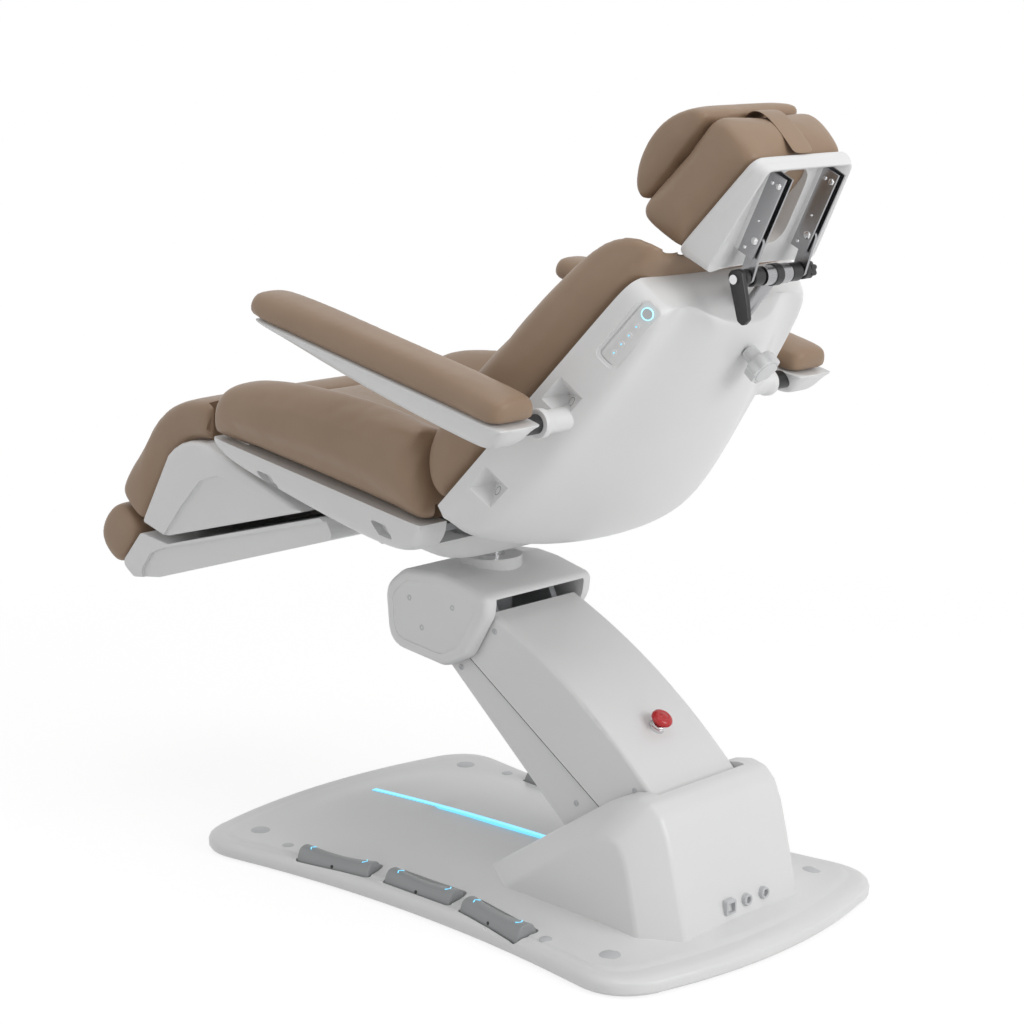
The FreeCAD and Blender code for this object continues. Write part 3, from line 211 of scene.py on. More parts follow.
def to_object(name, bm, place, smooth=True, angle=None):
    bmesh.ops.remove_doubles(bm, verts=bm.verts, dist=0.0005)
    bmesh.ops.recalc_face_normals(bm, faces=bm.faces)
    bmesh.ops.transform(bm, matrix=place, verts=bm.verts)
    for face in bm.faces:
        face.smooth = smooth
    if angle:
        for edge in bm.edges:
            edge.smooth = len(edge.link_faces) == 2 and edge.calc_face_angle(0) < math.radians(angle)
    mesh = bpy.data.meshes.new(name)
    bm.to_mesh(mesh)
    bm.free()
    obj = bpy.data.objects.new(name, mesh)
    bpy.context.scene.collection.objects.link(obj)
    return obj

def subdivide(obj, levels):
    mod = obj.modifiers.new("smooth", "SUBSURF")
    mod.levels = levels
    mod.render_levels = levels
    return obj

def walk(bm, loops, caps):
    verts = [bm.verts.new(p) for p in loops[0]]
    count = len(verts)
    edges = [bm.edges.new((verts[i], verts[(i + 1) % count])) for i in range(count)]
    grid = [verts]
    if caps[0]:
        bmesh.ops.contextual_create(bm, geom=edges)
    for points in loops[1:]:
        made = bmesh.ops.extrude_edge_only(bm, edges=edges)["geom"]
        fresh = set(item for item in made if isinstance(item, bmesh.types.BMVert))
        verts = [next(e.other_vert(v) for e in v.link_edges if e.other_vert(v) in fresh) for v in grid[-1]]
        for vert, point in zip(verts, points):
            vert.co = point
        edges = [bm.edges.get((verts[i], verts[(i + 1) % count])) for i in range(count)]
        grid.append(verts)
    if caps[1]:
        bmesh.ops.contextual_create(bm, geom=edges)
    return grid

def skin(name, loops, place, levels=2, caps=(True, True), rows=(), columns=(), angle=None):
    bm = bmesh.new()
    grid = walk(bm, [[Vector(p) for p in loop] for loop in loops], caps)
    hold = bm.edges.layers.float.new("crease_edge")
    count = len(grid[0])
    for row, amount in rows:
        for i in range(count):
            bm.edges.get((grid[row][i], grid[row][(i + 1) % count]))[hold] = amount
    for column, amount in columns:
        for low, high in zip(grid, grid[1:]):
            bm.edges.get((low[column], high[column]))[hold] = amount
    obj = to_object(name, bm, place, angle=angle)
    return subdivide(obj, levels) if levels else obj

def both_sides(half):
    """A loop that is drawn for +X only and closed on the other side."""
    return list(half) + [(-x, y, z) for x, y, z in reversed(half) if abs(x) > 1e-6]

def plate(name, outline, low, high, place, rim=3.0, segments=3, axis="X", angle=28):
    """A flat outline given thickness between two stations, with every edge rounded."""
    bm = bmesh.new()

    def lay(u, v, d):
        return (d, u, v) if axis == "X" else (u, v, d)

    face = bm.faces.new([bm.verts.new(lay(u, v, low)) for u, v in outline])
    made = bmesh.ops.extrude_face_region(bm, geom=[face])["geom"]
    shift = Vector(lay(0, 0, high)) - Vector(lay(0, 0, low))
    bmesh.ops.translate(bm, vec=shift, verts=[v for v in made if isinstance(v, bmesh.types.BMVert)])
    bmesh.ops.recalc_face_normals(bm, faces=bm.faces)
    if rim:
        sharp = [e for e in bm.edges if e.calc_face_angle(0) > math.radians(angle)]
        bmesh.ops.bevel(bm, geom=sharp, offset=rim, affect="EDGES", segments=segments, profile=0.5,
                        material=-1, clamp_overlap=True)
    return to_object(name, bm, place, angle=40)

def turned(name, profile, place, steps=40, angle=40):
    """A profile of (radius, height) spun round the local Z axis."""
    bm = bmesh.new()
    verts = [bm.verts.new((r, 0, h)) for r, h in profile]
    edges = [bm.edges.new(pair) for pair in zip(verts, verts[1:])]
    bmesh.ops.spin(bm, geom=verts + edges, cent=(0, 0, 0), axis=(0, 0, 1), angle=math.tau, steps=steps,
                   use_merge=True)
    return to_object(name, bm, place, angle=angle)

def join(name, objs):
    bm = bmesh.new()
    for obj in objs:
        bm.from_mesh(obj.data)
        bpy.data.objects.remove(obj)
    mesh = bpy.data.meshes.new(name)
    bm.to_mesh(mesh)
    bm.free()
    obj = bpy.data.objects.new(name, mesh)
    bpy.context.scene.collection.objects.link(obj)
    return obj

def baked(obj):
    """The piece with its modifiers worked into the mesh."""
    depsgraph = bpy.context.evaluated_depsgraph_get()
    mesh = bpy.data.meshes.new_from_object(obj.evaluated_get(depsgraph))
    obj.modifiers.clear()
    obj.data = mesh
    return obj

def carve(obj, cutters, angle=35):
    """Cut recesses into a shell, then mark the new edges as crisp."""
    baked(obj)
    for cutter in cutters:
        mod = obj.modifiers.new("recess", "BOOLEAN")
        mod.operation = "DIFFERENCE"
        mod.object = cutter
        mod.solver = "EXACT"
    bpy.context.view_layer.update()
    baked(obj)
    for cutter in cutters:
        bpy.data.objects.remove(cutter)
    bm = bmesh.new()
    bm.from_mesh(obj.data)
    for edge in bm.edges:
        edge.smooth = len(edge.link_faces) == 2 and edge.calc_face_angle(0) < math.radians(angle)
    bm.to_mesh(obj.data)
    bm.free()
    return obj

def cut_pair(outline, low, high, place, rim):
    """The same flat cutter on the left and on the right side."""
    return [plate("cutter", outline, a, b, place, rim=rim) for a, b in ((low, high), (-high, -low))]

def facing(place, origin, u, v):
    """A frame on a surface: u and v lie in it, the third axis points out of it."""
    o, a, b = Vector(origin), Vector(u).normalized(), Vector(v)
    n = a.cross(b).normalized()
    b = n.cross(a).normalized()
    turn = Matrix(((a.x, b.x, n.x, o.x), (a.y, b.y, n.y, o.y), (a.z, b.z, n.z, o.z), (0, 0, 0, 1)))
    return place @ turn

# %% [markdown]
# ## Outlines with round corners
# Many covers are flat plates with an outline of straight runs and round corners. A small helper rounds
# each corner, and another one walks along the arcs that the base plan is made of.

# %% Round corners and arcs
def soft_corners(points, radius, steps=5):
    made = []
    count = len(points)
    for i in range(count):
        here = Vector(points[i])
        back = Vector(points[i - 1]) - here
        ahead = Vector(points[(i + 1) % count]) - here
        bend = back.angle(ahead)
        reach = min(radius / math.tan(bend / 2), back.length * 0.45, ahead.length * 0.45)
        start = here + back.normalized() * reach
        end = here + ahead.normalized() * reach
        for k in range(steps + 1):
            t = k / steps
            made.append(tuple((1 - t) ** 2 * start + 2 * t * (1 - t) * here + t * t * end))
    return made

def ring_of(radius, centre, steps):
    turns = [math.tau * k / steps for k in range(steps)]
    return [(radius * math.cos(a) + centre[0], radius * math.sin(a) + centre[1]) for a in turns]

def arc_points(a, b, radius, steps):
    a, b = Vector(a), Vector(b)
    chord = b - a
    side = Vector((-chord.y, chord.x)).normalized() * (1 if radius > 0 else -1)
    centre = (a + b) / 2 + side * math.sqrt(radius ** 2 - chord.length_squared / 4)
    first = math.atan2(a.y - centre.y, a.x - centre.x)
    turn = 2 * math.asin(chord.length / 2 / abs(radius)) * (1 if radius > 0 else -1)
    return [(centre.x + abs(radius) * math.cos(first + turn * k / steps),
             centre.y + abs(radius) * math.sin(first + turn * k / steps)) for k in range(steps)]

# %% [markdown]
# ## Padded pieces
# A cushion is foam in a sewn cover, so it bulges between its seams and draws in at its corners. The cage
# is drawn a little lean, remeshed evenly, and a short cloth simulation with air pressure fills the cover.
# The movement is capped so the pad stays on its shell.

# %% Filling a cover
def stuffed(obj, cap=0.006, voxel=0.006, pressure=3.0, frames=16, rounds=4):
    baked(obj)
    shell = obj.modifiers.new("even", "REMESH")
    shell.mode = "VOXEL"
    shell.voxel_size = voxel
    baked(obj)
    start = [v.co.copy() for v in obj.data.vertices]
    cloth = obj.modifiers.new("cover", "CLOTH")
    cloth.settings.use_pressure = True
    cloth.settings.uniform_pressure_force = pressure
    cloth.settings.effector_weights.gravity = 0
    cloth.settings.tension_stiffness = 20
    cloth.settings.compression_stiffness = 20
    cloth.settings.bending_stiffness = 2
    cloth.settings.quality = 4
    cloth.point_cache.frame_start = 1
    cloth.point_cache.frame_end = frames
    for step in range(1, frames + 1):
        bpy.context.scene.frame_set(step)
    baked(obj)
    bpy.context.scene.frame_set(1)
    for vert, rest in zip(obj.data.vertices, start):
        move = vert.co - rest
        if move.length > cap:
            vert.co = rest + move.normalized() * cap
    bm = bmesh.new()
    bm.from_mesh(obj.data)
    for _ in range(rounds):
        bmesh.ops.smooth_vert(bm, verts=bm.verts, factor=0.5, use_axis_x=True, use_axis_y=True,
                              use_axis_z=True)
    for face in bm.faces:
        face.smooth = True
    bm.to_mesh(obj.data)
    bm.free()
    return obj

def cushion(obj, body, nodes_it_replaces):
    settle(obj, LEATHERETTE, body)
    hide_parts(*nodes_it_replaces)
    print(obj.name, "faces", len(obj.data.polygons))
    return obj

# %% [markdown]
# ## The stage
# A pale floor and an even studio light. The backdrop is white to the camera and to mirror rays only, so
# the light on the chair itself stays at a plain level and the floor still takes the soft contact shadow.

# %% World that is white to the eye
def eye_or_mirror(nodes, links):
    """One for rays of the camera, through glass or off a mirror, nought for light that falls on things."""
    rays = nodes.new("ShaderNodeLightPath")
    answer = rays.outputs["Is Camera Ray"]
    for kind in ("Is Transmission Ray", "Is Glossy Ray"):
        either = nodes.new("ShaderNodeMath")
        either.operation = "MAXIMUM"
        links.new(answer, either.inputs[0])
        links.new(rays.outputs[kind], either.inputs[1])
        answer = either.outputs["Value"]
    return answer

def blend(nodes, links, share, first, second):
    """Two shaders: the first where the share is nought, the second where it is one."""
    node = nodes.new("ShaderNodeMixShader")
    links.new(share, node.inputs["Fac"])
    links.new(first, node.inputs[1])
    links.new(second, node.inputs[2])
    return node.outputs["Shader"]

scene = bpy.context.scene
scene.view_settings.view_transform = "Standard"
world = bpy.data.worlds.new("studio")
scene.world = world
world.use_nodes = True
nodes, links = world.node_tree.nodes, world.node_tree.links
nodes.clear()
skies = []
for strength in (0.46, 1.0):
    sky = nodes.new("ShaderNodeBackground")
    sky.inputs["Color"].default_value = (1, 1, 1, 1)
    sky.inputs["Strength"].default_value = strength
    skies.append(sky.outputs["Background"])
out = nodes.new("ShaderNodeOutputWorld")
links.new(blend(nodes, links, eye_or_mirror(nodes, links), *skies), out.inputs["Surface"])
print("world nodes:", len(nodes))

# %% Floor that fades into the backdrop
bm = bmesh.new()
bmesh.ops.create_circle(bm, cap_ends=True, radius=60, segments=64)
floor = to_object("floor", bm, Matrix.Identity(4))
paint, nodes, links, shader = finish("pale_floor", (0.8, 0.8, 0.8), 0.9)
grain = texture(nodes, links, "ShaderNodeTexNoise", 30.0)
rough_between(nodes, links, shader, grain.outputs["Fac"], 0.85, 0.95)
thin = nodes.new("ShaderNodeBsdfDiffuse")
thin.inputs["Color"].default_value = (0.24, 0.24, 0.24, 1)
paper = nodes.new("ShaderNodeEmission")
paper.inputs["Strength"].default_value = 0.83
both = nodes.new("ShaderNodeAddShader")
links.new(thin.outputs["BSDF"], both.inputs[0])
links.new(paper.outputs["Emission"], both.inputs[1])
where = nodes.new("ShaderNodeTexCoord")
away = nodes.new("ShaderNodeVectorMath")
away.operation = "LENGTH"
links.new(where.outputs["Object"], away.inputs[0])
fade = nodes.new("ShaderNodeMapRange")
fade.inputs["From Min"].default_value = 1.2
fade.inputs["From Max"].default_value = 2.4
links.new(away.outputs["Value"], fade.inputs["Value"])
backdrop = nodes.new("ShaderNodeEmission")
shown = blend(nodes, links, fade.outputs["Result"], both.outputs["Shader"], backdrop.outputs["Emission"])
seen = blend(nodes, links, eye_or_mirror(nodes, links), shader.outputs["BSDF"], shown)
links.new(seen, nodes["Material Output"].inputs["Surface"])
floor.data.materials.append(paint)
print("floor nodes:", len(nodes))

# %% Lamps and camera
AIM = Vector((0, 0, 0.6))

def lamp(name, place, size, power):
    light = bpy.data.lights.new(name, "AREA")
    light.size = size
    light.energy = power
    obj = bpy.data.objects.new(name, light)
    obj.location = place
    obj.rotation_euler = (AIM - Vector(place)).to_track_quat("-Z", "Y").to_euler()
    scene.collection.objects.link(obj)

lamp("overhead", (0.2, 0.6, 4.2), 3.2, 42)
lamp("rear", (-0.6, 4.6, 2.2), 2.6, 84)
lamp("side", (4.4, -1.2, 2.0), 2.6, 18)
eye = bpy.data.cameras.new("eye")
eye.lens = 85.08
eye.sensor_width = 36
camera = bpy.data.objects.new("eye", eye)
camera.location = (2.8275, 2.6676, 1.4480)
camera.rotation_euler = (math.radians(90 - 12.06), 0, math.radians(133.78))
scene.collection.objects.link(camera)
scene.camera = camera
print("camera at", tuple(round(v, 2) for v in camera.location))

# %% [markdown]
# ## The back shell
# The biggest moulding of the chair: a narrow facet along the cushion, a side band that carries the
# controls, a soft valley, then a full belly down the middle. It is drawn as half sections from hip to
# shoulder, closed on the other side. The cushion rim is creased to stay crisp; the top ends in a slanted
# shelf.

# %% Sections of the back shell
def back_half(y):
    return 285 - 87 * (y + 69) / 477

def back_section(y, rear, drop=0.0, pull=0.0, middle=None):
    """One half section, closed on the other side; an inset of 999 stands for the middle line."""
    w = back_half(y) - pull
    middle = drop if middle is None else middle
    pts = [(w, y, -22), (w - 4, y, -41)]
    pts += [(0 if inset == 999 else w - inset, y, -depth) for inset, depth in rear]
    made = []
    for x, yy, z in pts:
        share = min(max((w - 52 - x) / 34, 0), 1)
        made.append((x, yy + (drop + (middle - drop) * share) * (z + 22) / -100, z))
    return both_sides(made)

SHELL = [
    (-70, [(16, 46), (30, 60), (50, 68), (84, 76), (122, 82), (170, 87), (225, 90), (999, 91)], -45, 0, -18),
    (-60, [(14, 62), (25, 84), (44, 98), (80, 112), (120, 122), (170, 130), (225, 135), (999, 137)], -25),
    (-28, [(15, 73), (25, 100), (42, 114), (74, 128), (114, 145), (165, 157), (220, 164), (999, 166)], -4),
    (50, [(15, 73), (25, 100), (40, 116), (66, 128), (102, 149), (150, 169), (207, 182), (999, 186)], 0),
    (150, [(15, 73), (24, 98), (39, 111), (63, 119), (97, 139), (140, 163), (192, 178), (999, 183)], 0),
    (260, [(14, 71), (23, 95), (37, 106), (60, 107), (92, 123), (128, 147), (176, 163), (999, 168)], 0),
    (350, [(14, 68), (22, 90), (36, 98), (58, 93), (88, 103), (122, 128), (164, 145), (999, 150)], 0),
    (392, [(13, 65), (21, 84), (34, 91), (58, 84), (86, 91), (118, 114), (158, 132), (999, 137)], -10, 1),
    (408, [(13, 63), (21, 80), (34, 86), (56, 79), (82, 85), (112, 107), (150, 125), (999, 130)], -14, 9),
    (413, [(14, 62), (22, 77), (34, 82), (52, 75), (74, 81), (102, 102), (138, 119), (999, 124)], -14, 22),
]
loops = [back_section(*row) for row in SHELL]
back_shell = skin("back_shell_moulding", loops, BACK, 3, rows=((0, 0.5), (len(loops) - 1, 0.85)),
                  columns=((0, 1.0), (18, 1.0), (1, 0.35), (17, 0.35)))
print("back shell cage", len(loops), "sections of", len(loops[0]))

# %% [markdown]
# On the band sit two square pockets and one long control panel, and the armrest bosses grow out of it.
# The pockets taper to a point like an upside-down pyramid, so a four-sided cone is a good cutter for
# them.

# %% Pockets and panel recess in the band
BAND_RUN = (-0.182, 1, 0)
PANEL_AT = 350

def band(y, z):
    """A frame on the side band that looks outwards."""
    return facing(BACK, (back_half(y) + 0.32 * (z + 24), y, z), BAND_RUN, (0.32, 0, 1))

POCKETS = [side @ band(y, z) for y, z in ((13, -62), (203, -58)) for side in (Matrix.Identity(4), MIRROR)]

def pocket_cutter(place, side, depth, proud=6):
    bm = bmesh.new()
    grow = (depth + proud) / depth
    bmesh.ops.create_cone(bm, cap_ends=True, segments=4, radius1=0.01, radius2=side * grow / math.sqrt(2),
                          depth=depth + proud)
    bmesh.ops.rotate(bm, verts=bm.verts, matrix=Matrix.Rotation(math.radians(45), 3, "Z"))
    bmesh.ops.translate(bm, verts=bm.verts, vec=(0, 0, proud - (depth + proud) / 2))
    return to_object("cutter", bm, place, smooth=False)

def slab_cutter(place, length, width, depth, corner, proud=8):
    half, tall = length / 2, width / 2
    outline = soft_corners([(-half, -tall), (half, -tall), (half, tall), (-half, tall)], corner)
    return plate("cutter", outline, -depth, proud, place, rim=1.2, segments=2, axis="Z")

cutters = [pocket_cutter(place, 46, 31) for place in POCKETS]
cutters.append(slab_cutter(band(PANEL_AT, -69), 126, 42, 2.6, 14))
cutters.append(slab_cutter(band(PANEL_AT, -69), 116, 32, 5.0, 11))
carve(back_shell, cutters, 24)
settle(back_shell, WHITE, "back")
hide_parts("back_shell")
caps, grooves = [], []
for place in POCKETS:
    spot = place @ at(0, -11.5, -15.4) @ about("X", -53.4)
    caps.append(turned("cap", [(0, 0.3), (6.2, 0.3), (6.6, 0.1), (6.6, -3)], spot, 28))
    groove = [(6.6, 0.15), (7.3, 0.15), (7.3, -1.5), (6.6, -1.5), (6.6, 0.15)]
    grooves.append(turned("groove", groove, spot, 28))
settle(join("pocket_caps", caps), WHITE, "back")
settle(join("pocket_cap_grooves", grooves), BLACK, "back")
print("pockets cut:", len(caps), "back shell faces:", len(back_shell.data.polygons))

# %% Armrest bosses and star knob
BOSS = [(0, 200), (22, 206), (19, 216), (18, 228), (18, 250), (19, 258), (22, 264), (22.8, 272),
        (21.8, 276), (19, 277), (0, 277)]
bosses = [turned("boss", BOSS, BACK @ at(*ARM_PIVOT) @ about("Y", 90 * side), 48) for side in (1, -1)]
settle(join("armrest_bosses", bosses), WHITE, "back")

def lobed(radius, bite, lobes, height):
    made = []
    for i in range(lobes * 8):
        a = math.tau * i / (lobes * 8)
        r = radius - bite * (0.5 - 0.5 * math.cos(lobes * a)) ** 1.5
        made.append((r * math.cos(a), r * math.sin(a), height))
    return made

def star(name, place, radius, lobes, bite, low, high, rim):
    """A lobed hand wheel with soft rims and a plain round face."""
    rows = [(radius - rim, bite * 0.6, low), (radius - 0.3 * rim, bite * 0.95, low + 0.3 * rim),
            (radius, bite, low + rim), (radius, bite, high - rim),
            (radius - 0.3 * rim, bite * 0.95, high - 0.3 * rim), (radius - rim, bite * 0.7, high)]
    inner = radius - bite - rim
    rows += [(inner, 0, high), (inner - 0.3, 0, high - 0.7), (inner - 0.9, 0, high - 0.7),
             (inner - 1.3, 0, high + 0.7), (inner - 2.2, 0, high + 1)]
    return skin(name, [lobed(r, b, lobes, h) for r, b, h in rows], place, 0, angle=35)

OUT = BACK @ at(0, 363, 0) @ about("X", 180)
head = star("star", OUT, 26.5, 8, 3.8, 169, 190, 2.8)
stem = turned("stem", [(0, 173), (15, 172), (15, 165), (13, 163), (12, 146), (0, 140)], OUT, 40)
# The knob takes the darker white, painted shade that sets it off from the shell behind it.
knob = settle(join("star_knob_moulding", [head, stem]), KNOB_WHITE_PAINTED_SHADE, "star_knob")
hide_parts("headrest_knob")
print("star knob spans", [round(v, 3) for v in knob.dimensions])

# %% [markdown]
# ## The back cushion
# The pad that carries the sitter: full round wings at the sides, a shallow hollow in the middle, a round
# lobe at the hips and a scooped top where the headrest swings. Its flat back lies on the shell's rim.

# %% Back cushion
def sunk_share(x):
    t = min(max((180 - x) / 62, 0), 1)
    return t * t * (3 - 2 * t)

def back_pad(y, shrink, rim, dip, notch=0.0, low=-21.5):
    w = back_half(y) - shrink
    pts = [(w - 8, low), (w - 1, low + 10), (w, low + 0.5 * (rim - low)), (w - 3, rim - 18),
           (w - 14, rim - 4), (w - 36, rim), (w - 66, rim - 0.32 * (rim - dip)),
           (max(w - 104, 88), dip + 3), (58, dip), (0, dip - 2)]
    return both_sides([(x, y - notch * sunk_share(x), z) for x, z in pts])

PAD = [(-73, 18, 4, 0), (-69, 9, 26, 20), (-52, 2, 54, 42), (-15, 0, 76, 54), (60, 0, 87, 58),
       (148, 0, 89, 60), (240, 0, 85, 56), (320, 0, 79, 44, 4), (385, 0, 69, 16, 18), (428, 1, 55, -6, 48),
       (456, 4, 34, -12, 73), (473, 9, 12, -16, 88), (482, 17, -8, -18, 96)]
loops = [back_pad(*row) for row in PAD]
back_cushion = skin("back_cushion_pad", loops, BACK, 2, rows=((0, 0.2), (12, 0.2)))
cushion(stuffed(back_cushion, cap=0.004, rounds=12), "back", ["back_cushion"])

# %% [markdown]
# ## The seat
# The seat cushion has a bolster along each side and a level middle. Its rear face curves away under the
# hip lobe of the back, so the two can roll past each other.

# %% Seat cushion
KNEE_PIVOT = (-452.8, -87.9)
HIP_PIVOT = (164.5, 175.9)
HIP_ROUND = 95

def seat_pad(y, shrink, rim, dip, rear=None, low=62.5):
    w = 292 - shrink
    pts = [(w - 14, low), (w - 2, low + 10), (w, (low + rim) / 2), (w - 4, rim - 20), (w - 17, rim - 4),
           (w - 44, rim), (w - 76, rim - 8), (w - 104, rim - 0.62 * (rim - dip)), (w - 134, dip + 3),
           (w - 170, dip), (60, dip - 2), (0, dip - 3)]
    made = []
    for x, z in pts:
        yy = y
        if rear:
            gap = HIP_ROUND ** 2 - (z - HIP_PIVOT[1]) ** 2
            yy = min(rear, HIP_PIVOT[0] - math.sqrt(gap)) if gap > 0 else rear
            yy += y
        made.append((x, yy, z))
    return both_sides(made)

def knee_room():
    """The round space in which the knee end of the leg rest turns."""
    return plate("cutter", ring_of(193.0, KNEE_PIVOT, 72), -258, 258, SEAT, rim=0)

def hip_room():
    """The round space under the seat in which the lower end of the back shell turns."""
    return plate("cutter", ring_of(168.0, HIP_PIVOT, 72), -225, 225, SEAT, rim=0)

SEAT_PAD = [(-399, 22, 116, 96), (-397.5, 9, 130, 105), (-390, 2, 145, 113), (-366, 0, 161, 119),
            (-290, 0, 182, 127), (-180, 0, 199, 131), (-60, 0, 207, 134), (20, 0, 209, 136),
            (-16, 0, 208, 137, 118), (0, 5, 206, 137, 118)]
loops = [seat_pad(*row) for row in SEAT_PAD]
seat_cushion = skin("seat_cushion_pad", loops, SEAT, 2, rows=((0, 0.2), (9, 0.5)))
stuffed(seat_cushion, cap=0.006)
HIP = [(HIP_PIVOT[0] + 126 * math.cos(math.radians(a)), HIP_PIVOT[1] + 126 * math.sin(math.radians(a)))
       for a in range(-138, -41, 4)]
under_hip = plate("cutter", HIP, -252, 252, SEAT, rim=0)
cushion(carve(seat_cushion, [knee_room(), under_hip], 60), "seat", ["seat_cushion"])

# %% [markdown]
# Under the cushion lies a shallow white pan with slanted pockets for its bolts. A tub with round corners
# closes it below and leaves a round mouth for the swivel post. Both are cut free where the back shell
# turns.

# %% Seat pan
PAN_TOP = 61.5

def pan_section(y, low, wide, tuck):
    span = PAN_TOP - low
    return both_sides([(wide, y, PAN_TOP), (wide + 0.5, y, PAN_TOP - min(9.5, 0.25 * span)),
                       (wide - 1, y, low + min(10, 0.4 * span)), (wide - 9, y, low + min(2, 0.12 * span)),
                       (wide - 26, y, low - tuck), (200, y, low - tuck), (100, y, low - tuck),
                       (0, y, low - tuck)])

PAN = [(-392, 55, 278, 0), (-389, 47, 284, 1), (-368, 35, 286, 2), (-338, 25, 286, 2), (-133, 7, 286, 3),
       (12, 0, 286, 3), (80, 5, 286, 3), (107, 22, 285, 1), (114, 46, 280, 0)]
seat_pan = skin("seat_pan_moulding", [pan_section(*row) for row in PAN], SEAT, 2, rows=((0, 0.6), (8, 0.6)),
                columns=((0, 1), (-1, 1)))
cutters = [knee_room(), hip_room()]
for slant in ([(-279, 38), (-238, 38), (-214, 20), (-253, 20)], [(2, 40), (40, 40), (61, 20.5), (27, 20.5)]):
    cutters += cut_pair(soft_corners(slant, 4, 3), 268, 300, SEAT, 1.5)
carve(seat_pan, cutters)
BOLT = [(0, 2), (3, 2), (3.4, 3.4), (6, 3.4), (7, 2.6), (7, -2)]
bolts = [turned("bolt", BOLT, SEAT @ at(269 * sign, y, z) @ about("Y", 90 * sign), 24)
         for y, z in ((-240, 28), (38, 29)) for sign in (1, -1)]
settle(join("pan_bolts", bolts), WHITE, "seat")
settle(seat_pan, WHITE, "seat")
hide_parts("seat_pan")
print("seat pan faces", len(seat_pan.data.polygons), "bolts", len(bolts))

# %% Tub below the seat
TUB_STEPS = 32

def tub_loop(z, half, front, rear):
    pts = []
    for c, s in ring_of(1, (0, 0), TUB_STEPS):
        x = math.copysign(abs(c) ** 0.42, c) * half
        y = math.copysign(abs(s) ** 0.42, s) * (rear - front) / 2 + (rear + front) / 2
        pts.append((x, y, z))
    return pts

def mouth_loop(z, radius):
    return [(x, y, z) for x, y in ring_of(radius, (0, 0), TUB_STEPS)]

TUB = [(30, 196, -126, 116), (6, 190, -116, 106), (-24, 174, -96, 84), (-35, 160, -84, 72),
       (-36, 130, -70, 62)]
loops = [tub_loop(*row) for row in TUB]
loops += [mouth_loop(*row) for row in ((-36, 70), (-33, 66), (26, 66))]
tub = skin("seat_tub", loops, SEAT, 2, rows=((0, 1), (3, 0.2), (6, 0.6)))
carve(tub, [hip_room()], 40)
settle(tub, WHITE, "seat")
print("tub faces", len(tub.data.polygons))

# %% [markdown]
# ## Leg rest and foot rest
# The calf cushion wraps over the knee on a round of about 185 mm. Its sections run along that path, from
# the shin up over the knee. The white shell behind has a sunk side panel, and the foot rest slides on two
# rails below.

# %% Calf cushion
def leg_ring(outer, inner, w, crown=2.0):
    def between(t):
        return (inner[0] + (outer[0] - inner[0]) * t, inner[1] + (outer[1] - inner[1]) * t)
    spots = [(0, 0), (w - 70, 0), (w - 10, 0), (w - 1, 0.08), (w, 0.4), (w, 0.78), (w - 5, 0.94),
             (w - 20, 1.0), (w - 70, 1.0 + crown / 100), (0, 1.0 + crown / 100)]
    return both_sides([(x, *between(t)) for x, t in spots])

def knee(angle, radius):
    return (radius * math.cos(math.radians(angle)), radius * math.sin(math.radians(angle)))

CALF = [((-146, 164), (-149, 120), 228), ((-149, 177), (-151, 106), 244), ((-138, 186), (-138, 99.6), 248),
        ((-100, 188.5), (-96, 103.5), 248.5), ((-50, 188), (-45, 108.8), 248.5),
        ((-4, 187.5), (15, 115.2), 248.5), (knee(70, 186), knee(66, 116), 248.5),
        (knee(50, 184), knee(50, 116), 248.5), (knee(34, 183), knee(32, 116), 248.5),
        (knee(27.5, 181), knee(24.5, 117), 247), (knee(26, 171), knee(25, 126), 234)]
leg_cushion = skin("leg_cushion_pad", [leg_ring(*row) for row in CALF], LEG, 2)
stuffed(leg_cushion, cap=0.004)
NOTCH = soft_corners([(114, 42), (152, 55), (144, 76), (120, 68)], 5, 4)
BRACKET = [(90, 36), (205, 80), (166, 108), (94, 61)]
carve(leg_cushion, cut_pair(NOTCH, 236, 270, LEG, 3) + cut_pair(BRACKET, 211, 233, LEG, 0), 50)
cushion(leg_cushion, "leg", ["leg_cushion"])

# %% Foot cushion
TOE = [(-260, 99), (-206, 98), (-166, 97), (-156, 126), (-156, 160), (-172, 180), (-206, 187), (-236, 185),
       (-257, 172), (-265, 148), (-265, 122)]

def toe_ring(x, scale):
    return [(x, -210 + (y + 210) * scale, 142 + (z - 142) * scale) for y, z in TOE]

TOE_ROWS = [(-249, 0.6), (-248, 0.88), (-240, 0.985), (-212, 1.0), (-70, 1.01)]
TOE_ROWS += [(-x, scale) for x, scale in reversed(TOE_ROWS)]
foot_cushion = skin("foot_cushion_pad", [toe_ring(*row) for row in TOE_ROWS], LEG, 2)
cushion(stuffed(foot_cushion, cap=0.004), "foot", ["foot_cushion"])

# %% Leg and foot shells
SHIN = [(-138, 97.5), (15, 113.5)] + [knee(a, 114.4) for a in (72, 60, 48, 36, 28)]
SHIN += [(106, 44.6), (186, -196), (-113, 37)]
leg_shell = plate("leg_shell_moulding", SHIN, -254, 254, LEG, rim=9, segments=4, angle=24)
PANEL = soft_corners([(-130, 40), (-30, 33), (44, 22), (84, -6), (150, -140), (230, -260), (120, -300),
                      (-190, 30)], 26, 6)
carve(leg_shell, cut_pair(PANEL, 246, 266, LEG, 4) + cut_pair(NOTCH, 236, 270, LEG, 3))
settle(leg_shell, WHITE, "leg")
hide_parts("leg_shell")
SOLE = soft_corners([(-246, 99), (-160, 92), (-122, 26), (212, -233.5), (197, -272), (-195, 12),
                     (-243, 60)], 14)
foot_shell = plate("foot_shell_moulding", SOLE, -248, 248, LEG, rim=12, segments=4, angle=26)
STRIP = soft_corners([(-232, 34), (-214, 52), (-169, 50), (-136, 30), (33, -103), (250, -274), (210, -340),
                      (-210, -20)], 14)
carve(foot_shell, cut_pair(STRIP, 241, 262, LEG, 4))
